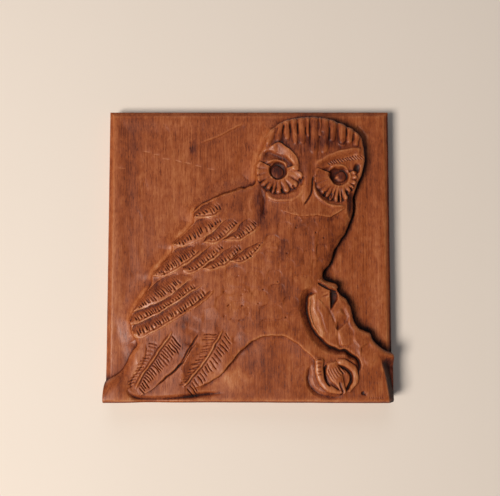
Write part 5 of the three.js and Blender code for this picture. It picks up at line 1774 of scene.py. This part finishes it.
@dataclass(frozen=True)
class Ground:
    """The ground under the owl: the hollow along the tail's tip, the rim below and the fall to the right edge."""

    bottom_bevel: float = 2.8
    bottom_drop: float = 3.0

    def carve(self, relief: Relief) -> None:
        """Cut the hollow, the right fall, the bottom rounding and the row of strokes.

        Args:
            relief: The carved front.
        """
        tip = [(-104, -112), (-103.4, -118), (-98, -123), (-90, -125), (-75, -125), (-55, -123.3), (-38, -121), (-20, -119.5)]
        carve(
            relief,
            [
                # Painted shade on the hollow's wall below the tail's tip, which faces away from the light.
                Groove(tip, 2.6, 7, taper=0.22, power=1.3), TintLine(tip, 4.5, 0.5, taper=0.15),
                Dome(97, -119, 1.6, 2.2, -1.0, power=0.7), Tint(97, -119.4, 1.8, 2.2, 0.9),
                Dome(99, -120.5, 1.0, 1.2, -0.8, power=0.7),
                *[
                    Groove([(102.5 + 1.9 * k, -122.2), (103.1 + 1.9 * k, -123.9)], 0.5, 0.9, taper=0.3)
                    for k in range(7)
                ],
                TintLine([(102.4, -124.6), (114.6, -124.6)], 1.4, 0.35),
                # Paler along the bottom rim, partly wear and partly a painted highlight; painted light on the lower
                # left corner's facet, and painted shade on the mound's slope above it, which faces away from the light.
                TintLine([(-122, -126), (-60, -126), (0, -126), (70, -126), (112, -126.4)], 1.8, -0.5, taper=0.05),
                TintLine([(-122, -128.4), (0, -128.4), (120, -128.4)], 3, 0.5, taper=0.03),
                TintArea([(-117, -117), (-106, -119), (-98, -125), (-119, -125)], -0.25, 2),
                TintLine([(-103, -86), (-104, -100), (-106, -112)], 7, -0.12), TintLine([(-109.5, -98), (-110, -108), (-112, -117)], 5, 0.35),
                Tint(-16, -106, 20, 10, -0.35), Tint(28, -100, 22, 20, 0.12), Tint(0, -122, 80, 4, 0.12),
                Tint(40, -96, 8, 14, -0.15), Tint(26, -82, 20, 6, 0.2),
                Tint(105, -92, 6, 9, -0.3), Tint(112, -115, 5, 8, -0.3), Tint(100, -112, 8, 6, 0.1), Tint(88, -123, 18, 4, 0.15),
            ],
        )
        edge = Stroke([(103, -64), (106, -74), (109.5, -84), (112.5, -92), (115, -100), (117, -110), (118.6, -120), (120, -132)])
        near = relief.measure(edge, 24.0)
        steep = ramp((-relief.z[near.window] - 86) / 12)
        fall = 7.5 * steep * np.clip(near.distance / 6.0, 0, 1) ** 1.1
        fall += 2.0 * (1 - steep) * ramp(near.distance / 16.0)
        right = (near.side > 0) & (relief.inward[near.window] > 0)
        relief.height[near.window] -= np.where(right, fall, 0.0)
        # Painted shade on the steep fall at the right, which faces away from the light.
        relief.tone[near.window] += np.where(right, 1.0 * steep * ramp(near.distance / 1.5), 0.0)
        below = np.clip((self.bottom_bevel - Board.half_height - relief.z) / self.bottom_bevel, 0, 1)
        relief.height -= self.bottom_drop * below**1.5


@dataclass(frozen=True)
class Wear:
    """Marks of time and tool: thin scratches on the board and a faint waviness of the whole surface."""

    scratches: tuple[tuple[Point, Point], ...] = (
        ((-96, 92.5), (-88, 91)), ((-86, 89.5), (-79.5, 88.6)), ((-78, 85.6), (-70.5, 84.6)), ((-66.5, 84.4), (-59.5, 82)),
        ((-58.5, 82.3), (-51.5, 80.8)), ((-49, 79.6), (-42, 78)), ((-38, 76.6), (-30, 75.2)), ((-117, 77), (-110, 76.3)),
    )
    scratch_depth: float = 0.25
    scratch_width: float = 0.9
    waviness: float = 0.07
    wobble_size: float = 0.55
    seed: int = 2

    def waves(self, relief: Relief, pitch: tuple[float, float], seed: int) -> Array:
        """Smooth random heights: values on a coarse lattice, carried between its points by a smooth ramp.

        Args:
            relief: The carved front.
            pitch: Spacing of the lattice across and up.
            seed: Seed of the values.

        Returns:
            Heights between about -1 and 1.
        """
        random = np.random.default_rng(seed)
        columns = (relief.xs - relief.xs[0]) / pitch[0]
        rows = (relief.zs - relief.zs[0]) / pitch[1]
        lattice = random.normal(0, 0.5, (int(rows[-1]) + 2, int(columns[-1]) + 2))
        j, i = columns.astype(int), rows.astype(int)
        u, v = ramp(columns - j), ramp(rows - i)
        low = lattice[i][:, j] * (1 - u) + lattice[i][:, j + 1] * u
        high = lattice[i + 1][:, j] * (1 - u) + lattice[i + 1][:, j + 1] * u
        return low * (1 - v[:, None]) + high * v[:, None]

    def wobble(self, relief: Relief) -> None:
        """Shift every line a little, as a hand does: height and tone are read at places moved by smooth waves.

        Args:
            relief: The carved front.
        """
        edge = np.minimum(Board.half_width - np.abs(relief.x), Board.half_height - np.abs(relief.z))
        amount = self.wobble_size * ramp((edge - 6.0) / 10.0)
        step_z = float(relief.zs[1] - relief.zs[0])
        moved_x = (relief.x + amount * self.waves(relief, (4.0, 5.0), self.seed + 5) - relief.xs[0]) / relief.step
        moved_z = (relief.z + amount * self.waves(relief, (4.5, 4.5), self.seed + 6) - relief.zs[0]) / step_z
        relief.height, relief.tone = (sample(table, moved_z, moved_x) for table in (relief.height, relief.tone))

    def carve(self, relief: Relief) -> Array:
        """Cut the scratches and the waviness.

        Args:
            relief: The carved front.

        Returns:
            How much of each point is scratched, 0 to 1.
        """
        self.wobble(relief)
        relief.height += self.waviness * self.waves(relief, (5.0, 8.0), self.seed)
        relief.height += 0.5 * self.waviness * self.waves(relief, (2.4, 7.0), self.seed + 1)
        before = relief.height.copy()
        carve(relief, [Groove(points, self.scratch_depth, self.scratch_width, taper=0.2) for points in self.scratches])
        return (before - relief.height) / self.scratch_depth


# Shaders


class Signal:
    """A shader socket that takes part in arithmetic: an expression adds its Math nodes."""

    def __init__(self, shader: "Shader", socket: bpy.types.NodeSocket) -> None:
        """Wrap a socket.

        Args:
            shader: The shader that the socket belongs to.
            socket: The output socket.
        """
        self.shader = shader
        self.socket = socket

    def _math(self, operation: str, first: "Value", second: "Value" = 0.0) -> "Signal":
        """Add a Math node."""
        return self.shader.node("ShaderNodeMath", {"operation": operation}, {0: first, 1: second})

    def __add__(self, other: "Value") -> "Signal":
        """The sum."""
        return self._math("ADD", self, other)

    def __radd__(self, other: "Value") -> "Signal":
        """The sum with a number first."""
        return self._math("ADD", other, self)

    def __sub__(self, other: "Value") -> "Signal":
        """The difference."""
        return self._math("SUBTRACT", self, other)

    def __rsub__(self, other: "Value") -> "Signal":
        """The difference with a number first."""
        return self._math("SUBTRACT", other, self)

    def __mul__(self, other: "Value") -> "Signal":
        """The product."""
        return self._math("MULTIPLY", self, other)

    def __rmul__(self, other: "Value") -> "Signal":
        """The product with a number first."""
        return self._math("MULTIPLY", other, self)

    def __truediv__(self, other: "Value") -> "Signal":
        """The quotient."""
        return self._math("DIVIDE", self, other)

    def __pow__(self, other: "Value") -> "Signal":
        """The power."""
        return self._math("POWER", self, other)

    def rise(self, low: float, high: float) -> "Signal":
        """Smooth rise from 0 at the low value to 1 at the high one."""
        settings = {"interpolation_type": "SMOOTHSTEP", "clamp": True}
        return self.shader.node("ShaderNodeMapRange", settings, {"Value": self, "From Min": low, "From Max": high})


Value = Union[Signal, float, Colour, Sequence[float]]


class Shader:
    """The node tree of one material."""

    def __init__(self, name: str) -> None:
        """Start an empty material.

        Args:
            name: Name of the material.
        """
        self.material = bpy.data.materials.new(name)
        self.material.use_nodes = True
        self.tree = self.material.node_tree
        self.tree.nodes.clear()

    def node(
        self, kind: str, settings: Optional[dict] = None, inputs: Optional[dict] = None, output: Union[int, str] = 0
    ) -> Signal:
        """Add a node, with its settings first and then its sockets.

        Args:
            kind: Blender's name of the node type.
            settings: Attributes of the node. The key stops holds a colour ramp's stops, (place, colour).
            inputs: Values or links of its input sockets, by name or number.
            output: The output socket that is handed back, by name or number.

        Returns:
            That output.
        """
        node = self.tree.nodes.new(kind)
        for key, value in (settings or {}).items():
            if key == "stops":
                while len(node.color_ramp.elements) < len(value):
                    node.color_ramp.elements.new(0.5)
                for element, (place, colour) in zip(node.color_ramp.elements, value):
                    element.position = place
                    element.color = (*colour, 1.0)
            else:
                setattr(node, key, value)
        for key, value in (inputs or {}).items():
            socket = node.inputs[key]
            if isinstance(value, Signal):
                self.tree.links.new(value.socket, socket)
            elif isinstance(value, tuple) and socket.type == "RGBA":
                socket.default_value = (*value, 1.0)
            else:
                socket.default_value = value
        return Signal(self, node.outputs[output]) if node.outputs else Signal(self, None)

    def mix(self, factor: Value, first: Value, second: Value, blend: str = "MIX") -> Signal:
        """Mix two colours.

        Args:
            factor: Share of the second.
            first: The first colour.
            second: The second colour.
            blend: Way of mixing.

        Returns:
            The mixed colour.
        """
        settings = {"data_type": "RGBA", "blend_type": blend}
        return self.node("ShaderNodeMix", settings, {0: factor, 6: first, 7: second}, output=2)

    def stretched(self, point: Signal, pitch: Sequence[float], shift: Sequence[float] = (0.0, 0.0, 0.0)) -> Signal:
        """Coordinates divided by a pitch in millimetres along each axis.

        Args:
            point: The coordinates in metres.
            pitch: Size of one unit of the pattern along x, y and z, in millimetres.
            shift: Move of the pattern, in its own units.

        Returns:
            The stretched coordinates.
        """
        scale = tuple(1.0 / (size * MM) for size in pitch)
        settings = {"operation": "MULTIPLY_ADD"}
        return self.node("ShaderNodeVectorMath", settings, {0: point, 1: scale, 2: shift})

    def noise(self, point: Signal, detail: float = 2.0, roughness: float = 0.5) -> Signal:
        """Noise over coordinates, about 0.25 to 0.75 with a mean of 0.5.

        Args:
            point: The coordinates.
            detail: Number of finer layers.
            roughness: Weight of the finer layers.

        Returns:
            The noise.
        """
        return self.node("ShaderNodeTexNoise", None, {"Vector": point, "Scale": 1.0, "Detail": detail, "Roughness": roughness})


@dataclass(frozen=True)
class Stain:
    """A soft oval area of the surface that is darker or lighter than the rest, in millimetres."""

    x: float
    z: float
    rx: float
    rz: float
    strength: float


@dataclass(frozen=True)
class WoodFinish:
    """Stained and waxed wood: upright grain with pores; the tone comes from the carving's own stain and wear and from
    the light and shade painted into it.
    """

    shades: tuple[tuple[float, Colour], ...] = (
        (0.0, srgb(34, 11, 5)), (0.22, srgb(84, 29, 11)), (0.5, srgb(148, 73, 33)), (0.72, srgb(178, 105, 60)),
        (1.0, srgb(206, 152, 110)),
    )
    tone_share: float = 0.27
    roughness: float = 0.44
    specular: float = 0.3
    drift: float = 10.0

    def build(self) -> bpy.types.Material:
        """Make the material.

        Returns:
            The material.
        """
        shader = Shader("carved_wood")
        point = shader.node("ShaderNodeTexCoord", output="Object")
        drift = shader.node(
            "ShaderNodeTexNoise", None, {"Vector": shader.stretched(point, (40, 40, 90)), "Detail": 2.0}, output="Color"
        )
        centred = shader.node("ShaderNodeVectorMath", {"operation": "SUBTRACT"}, {0: drift, 1: (0.5, 0.5, 0.5)})
        reach = (self.drift * MM,) * 3
        warp = shader.node("ShaderNodeVectorMath", {"operation": "MULTIPLY_ADD"}, {0: centred, 1: reach, 2: point})
        bands = shader.noise(shader.stretched(warp, (14, 14, 240)), detail=3.0, roughness=0.55)
        blotches = shader.noise(shader.stretched(warp, (6, 6, 8), (3.0, 5.0, 1.0)), detail=4.0, roughness=0.65)
        streaks = shader.noise(shader.stretched(point, (1.2, 1.2, 40)), detail=3.0, roughness=0.65)
        fibres = shader.noise(shader.stretched(point, (0.5, 0.5, 5)), detail=2.0, roughness=0.6)
        pores = shader.noise(shader.stretched(point, (0.5, 0.5, 4.5), (7.0, 2.0, 4.0)), detail=1.0)
        specks = shader.noise(shader.stretched(point, (0.7, 0.7, 0.9), (1.0, 9.0, 2.0)), detail=1.0)
        pore = pores.rise(0.62, 0.7)
        speck = specks.rise(0.66, 0.74)
        # The tone attribute carries the wood's stain and wear and also painted light and shade: painted shadows, shade
        # in hollows, lit faces, highlights and sheen.
        tone = shader.node("ShaderNodeAttribute", {"attribute_name": "tone"}, output="Fac")
        scratch = shader.node("ShaderNodeAttribute", {"attribute_name": "scratch"}, output="Fac")
        grain = bands * 0.4 + blotches * 0.4 + streaks * 0.5 + fibres * 0.35 - 0.325
        shade = grain - self.tone_share * tone - pore * 0.16 + speck * 0.1 + scratch * 0.3
        colour = shader.node("ShaderNodeValToRGB", {"stops": self.shades}, {0: shade})
        rough = self.roughness + 0.2 * (blotches - 0.5) + 0.12 * tone + 0.1 * pore
        surface_grain = fibres * 0.4 + streaks * 0.4 - pore * 0.8
        bump = shader.node("ShaderNodeBump", None, {"Strength": 0.5, "Distance": 0.00012, "Height": surface_grain})
        surface = shader.node(
            "ShaderNodeBsdfPrincipled", None,
            {"Base Color": colour, "Roughness": rough, "Specular IOR Level": self.specular, "Normal": bump},
        )
        shader.node("ShaderNodeOutputMaterial", None, {"Surface": surface})
        return shader.material


@dataclass(frozen=True)
class PaintedWall:
    """Matt pale paint, seen from its front alone, so that the plaque's back shows from behind."""

    paint: Colour = srgb(236, 224, 211)

    def build(self) -> bpy.types.Material:
        """Make the material.

        Returns:
            The material.
        """
        shader = Shader("painted_wall")
        point = shader.node("ShaderNodeTexCoord", output="Object")
        cloud = shader.noise(shader.stretched(point, (120, 120, 120)), detail=3.0)
        colour = shader.mix(cloud * 0.12, self.paint, srgb(214, 202, 184))
        paint = shader.node("ShaderNodeBsdfPrincipled", None, {"Base Color": colour, "Roughness": 0.9})
        clear = shader.node("ShaderNodeBsdfTransparent")
        behind = shader.node("ShaderNodeNewGeometry", output="Backfacing")
        surface = shader.node("ShaderNodeMixShader", None, {0: behind, 1: paint, 2: clear})
        shader.node("ShaderNodeOutputMaterial", None, {"Surface": surface})
        return shader.material


# Meshes


@dataclass(frozen=True)
class Plaque:
    """The whole plaque: the carved front, four sides with a slight arris, and a flat back."""

    board: Board = Board()
    arris: float = 0.4
    cells: tuple[int, int] = (720, 732)
    back_share: int = 12
    most_triangles: int = 188_000
    face_limit: float = 27.0
    face_room: float = 2.9
    least_height: float = 11.0

    def relief(self) -> tuple[Relief, Array]:
        """Carve the front.

        Returns:
            The carved front, and how much of each point is scratched.
        """
        relief = Relief(self.board.half_width - self.arris, self.board.half_height - self.arris, self.cells)
        self.board.carve(relief)
        Figure().carve(relief, relief.height.copy())
        Breast().carve(relief)
        for part in (Crown(), LEFT_DISC, RIGHT_DISC, LEFT_EYE, RIGHT_EYE, LeftBrow(), RightBrow(), Beak()):
            part.carve(relief)
        for part in (Wing(), Tail(), Rock(), Leg(), Ground()):
            part.carve(relief)
        scratched = Wear().carve(relief)
        over = np.maximum(relief.height - self.face_limit, 0) / self.face_room
        limited = self.face_limit + self.face_room * np.tanh(over)
        relief.height = np.where(relief.height > self.face_limit, limited, relief.height)
        relief.height = np.maximum(relief.height, self.least_height)
        return relief, scratched

    def shell(self, relief: Relief) -> tuple[Array, list[Array]]:
        """Close the front with its sides and back.

        The front is the grid itself. Around it run three rings: the sides' front and back edges, at the full
        size, and the rim of the back. The back is a coarse flat grid joined to that rim by flat strips.

        Args:
            relief: The carved front.

        Returns:
            Vertices in metres, and arrays of faces with one face a row.
        """
        rows, columns = relief.height.shape
        front = np.stack([relief.x, -relief.height, relief.z], axis=-1).reshape(-1, 3)
        index = np.arange(rows * columns).reshape(rows, columns)
        loop = np.concatenate([index[0, :-1], index[:-1, -1], index[-1, :0:-1], index[:0:-1, 0]])
        rim = front[loop]
        grow = np.array([
            self.board.half_width / (self.board.half_width - self.arris), 1.0,
            self.board.half_height / (self.board.half_height - self.arris),
        ])
        outer = rim * grow
        rings = [outer + (0, self.arris, 0), outer * (1, 0, 1) + (0, -self.arris, 0), rim * (1, 0, 1)]
        count = len(loop)
        faces = [np.stack([index[:-1, :-1], index[:-1, 1:], index[1:, 1:], index[1:, :-1]], axis=-1).reshape(-1, 4)]
        bases = [loop] + [len(front) + k * count + np.arange(count) for k in range(3)]
        for inner, outside in zip(bases[:-1], bases[1:]):
            faces.append(np.stack([inner, outside, np.roll(outside, -1), np.roll(inner, -1)], axis=-1))
        share = self.back_share
        back_x = relief.xs[::share] * 0.985
        back_z = relief.zs[::share] * 0.985
        grid_x, grid_z = np.meshgrid(back_x, back_z)
        back = np.stack([grid_x, np.zeros_like(grid_x), grid_z], axis=-1).reshape(-1, 3)
        first = len(front) + 3 * count
        coarse = first + np.arange(len(back)).reshape(grid_x.shape)
        faces.append(np.stack([coarse[:-1, :-1], coarse[1:, :-1], coarse[1:, 1:], coarse[:-1, 1:]], axis=-1).reshape(-1, 4))
        ring = np.concatenate([coarse[0, :-1], coarse[:-1, -1], coarse[-1, :0:-1], coarse[:0:-1, 0]])
        fine = bases[-1][(np.arange(len(ring))[:, None] * share + np.arange(share + 1)) % count]
        faces.append(np.column_stack([ring, np.roll(ring, -1), fine[:, ::-1]]))
        vertices = np.vstack([front, *rings, back]) * MM
        return vertices, faces

    def mesh(self, relief: Relief) -> bpy.types.Mesh:
        """Make the mesh and thin it where it is flat.

        Args:
            relief: The carved front.

        Returns:
            The mesh.
        """
        vertices, faces = self.shell(relief)
        loops = np.concatenate([table.ravel() for table in faces])
        sizes = np.concatenate([np.full(len(table), table.shape[1]) for table in faces])
        mesh = bpy.data.meshes.new("owl_plaque_full")
        mesh.vertices.add(len(vertices))
        mesh.vertices.foreach_set("co", vertices.astype(np.float32).ravel())
        mesh.loops.add(len(loops))
        mesh.loops.foreach_set("vertex_index", loops.astype(np.int32))
        mesh.polygons.add(len(sizes))
        mesh.polygons.foreach_set("loop_start", np.concatenate([[0], np.cumsum(sizes)[:-1]]).astype(np.int32))
        mesh.update(calc_edges=True)
        mesh.validate()
        source = bpy.data.objects.new("owl_plaque_full", mesh)
        bpy.context.scene.collection.objects.link(source)
        triangles = int(np.sum(sizes - 2))
        thin = source.modifiers.new("thin", "DECIMATE")
        thin.ratio = self.most_triangles / triangles
        thin.use_collapse_triangulate = True
        bpy.context.view_layer.update()
        evaluated = source.evaluated_get(bpy.context.evaluated_depsgraph_get())
        thinned = bpy.data.meshes.new_from_object(evaluated)
        thinned.name = "carved_owl_plaque"
        bpy.data.objects.remove(source)
        bpy.data.meshes.remove(mesh)
        return thinned

    def paint_attributes(self, mesh: bpy.types.Mesh, relief: Relief, scratched: Array) -> None:
        """Store at each vertex the tone, the wood's own and painted light and shade, and how much it is scratched.

        To the tints of the carving comes darkening, which follows how little sky a point sees and stands for stain in
        the hollows and for painted shade, and paleness, which follows how far it stands above the mean around it and
        stands for wear and a painted highlight.

        Args:
            mesh: The thinned mesh.
            relief: The carved front.
            scratched: How much of each point is scratched.
        """
        # Darker where a point sees little sky: stain gathered in the hollows, and painted shade.
        near_sky = relief.openness((0.7, 1.4, 2.8))
        wide_sky = relief.openness((2.5, 5.0, 9.0))
        hollow_stain_and_shade = 0.9 * ramp((0.9 - near_sky) / 0.6) + 0.7 * ramp((0.93 - wide_sky) / 0.6)
        # Paler on crests: wear, and a painted highlight.
        crest = ramp((relief.height - relief.blurred(relief.height, 0.9) - 0.04) / 0.35)
        tone = relief.tone + hollow_stain_and_shade - 0.55 * crest
        places = np.empty(len(mesh.vertices) * 3, np.float32)
        mesh.vertices.foreach_get("co", places)
        x, y, z = places.reshape(-1, 3).T / MM
        rows = (z - relief.zs[0]) / (relief.zs[1] - relief.zs[0])
        columns = (x - relief.xs[0]) / relief.step
        carved = -y > self.least_height - 2 * self.arris
        for name, table, low_limit in (("tone", tone, -2.0), ("scratch", scratched, 0.0)):
            values = np.where(carved, sample(table, rows, columns), 0.0)
            layer = mesh.attributes.new(name, "FLOAT", "POINT")
            layer.data.foreach_set("value", np.clip(values, low_limit, 2.0).astype(np.float32))

    def build(self) -> bpy.types.Object:
        """Make the plaque in place of the plain solid.

        Returns:
            The plaque.
        """
        relief, scratched = self.relief()
        LOG.info("carved front: %d by %d points, %.1f to %.1f mm", *relief.height.shape[::-1], relief.height.min(), relief.height.max())
        mesh = self.mesh(relief)
        self.paint_attributes(mesh, relief, scratched)
        mesh.shade_smooth()
        mesh.set_sharp_from_angle(angle=math.radians(50))
        mesh.materials.append(WoodFinish().build())
        plaque = bpy.data.objects.new("carved_owl_plaque", mesh)
        bpy.context.scene.collection.objects.link(plaque)
        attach(plaque, "root")
        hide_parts("owl_plaque")
        LOG.info("plaque: %d vertices, %d faces", len(mesh.vertices), len(mesh.polygons))
        return plaque


@dataclass(frozen=True)
class Wall:
    """The pale wall that the plaque hangs on, with an opening hidden behind the plaque."""

    half_size: float = 1.6
    gap: float = 0.0003
    hidden_rim: float = 0.002

    def build(self) -> bpy.types.Object:
        """Make the wall as four strips around the opening.

        Returns:
            The wall.
        """
        low, high = CAD_BOX
        inner_x, inner_z = high[0] - self.hidden_rim, high[2] - self.hidden_rim
        corners = [(-1, -1), (1, -1), (1, 1), (-1, 1)]
        vertices = [(sx * self.half_size, self.gap, sz * self.half_size) for sx, sz in corners]
        vertices += [(sx * inner_x, self.gap, sz * inner_z) for sx, sz in corners]
        faces = [(k, (k + 1) % 4, 4 + (k + 1) % 4, 4 + k) for k in range(4)]
        mesh = bpy.data.meshes.new("wall")
        mesh.from_pydata(vertices, [], faces)
        mesh.materials.append(PaintedWall().build())
        wall = bpy.data.objects.new("wall", mesh)
        bpy.context.scene.collection.objects.link(wall)
        return wall


@dataclass(frozen=True)
class SoftLight:
    """A square soft light that faces a point of the plaque."""

    name: str
    place: tuple[float, float, float]
    size: float
    power: float
    colour: Colour

    def build(self) -> bpy.types.Object:
        """Make the light.

        Returns:
            The light.
        """
        data = bpy.data.lights.new(self.name, "AREA")
        data.shape = "SQUARE"
        data.size = self.size
        data.energy = self.power
        data.color = self.colour
        light = bpy.data.objects.new(self.name, data)
        place = Vector(self.place)
        light.matrix_world = Matrix.Translation(place) @ (-place).to_track_quat("-Z", "Y").to_matrix().to_4x4()
        bpy.context.scene.collection.objects.link(light)
        return light


@dataclass(frozen=True)
class Studio:
    """Soft light from the lower left, a weak cool fill, a light for the back, and the camera."""

    lights: tuple[SoftLight, ...] = (
        SoftLight("key", (-1.10, -1.65, -0.62), 0.75, 44.0, (1.0, 0.935, 0.87)),
        SoftLight("fill", (-0.1, -1.5, 1.5), 1.0, 5.0, (0.86, 0.92, 1.0)),
        SoftLight("back", (0.7, 1.1, 0.7), 0.8, 14.0, (1.0, 0.96, 0.9)),
    )
    world: Colour = (0.9, 0.93, 1.0)
    world_strength: float = 0.1
    camera_place: tuple[float, float, float] = (0.0009, -0.5454, -0.0298)
    camera_tilt: float = 3.81
    lens: float = 43.2
    sensor: float = 36.0

    def build(self) -> None:
        """Make the lights, the world and the camera."""
        for light in self.lights:
            light.build()
        world = bpy.data.worlds.new("studio")
        world.use_nodes = True
        background = world.node_tree.nodes["Background"]
        background.inputs["Color"].default_value = (*self.world, 1.0)
        background.inputs["Strength"].default_value = self.world_strength
        scene = bpy.context.scene
        scene.world = world
        scene.view_settings.view_transform = "Standard"
        data = bpy.data.cameras.new("camera")
        data.sensor_width = self.sensor
        data.lens = self.lens
        data.clip_start = 0.01
        camera = bpy.data.objects.new("camera", data)
        turn = Matrix.Rotation(math.radians(90 + self.camera_tilt), 4, "X")
        camera.matrix_world = Matrix.Translation(self.camera_place) @ turn
        scene.collection.objects.link(camera)
        scene.camera = camera


def main() -> None:
    """Build the plaque, the wall and the studio, and report each."""
    logging.basicConfig(level=logging.INFO, format="%(name)s: %(message)s")
    Studio().build()
    LOG.info("studio: %d lights and the camera", len(Studio.lights))
    plaque = Plaque().build()
    LOG.info("piece: %s", plaque.name)
    wall = Wall().build()
    LOG.info("stage: %s", wall.name)


if __name__ == "__main__":
    main()
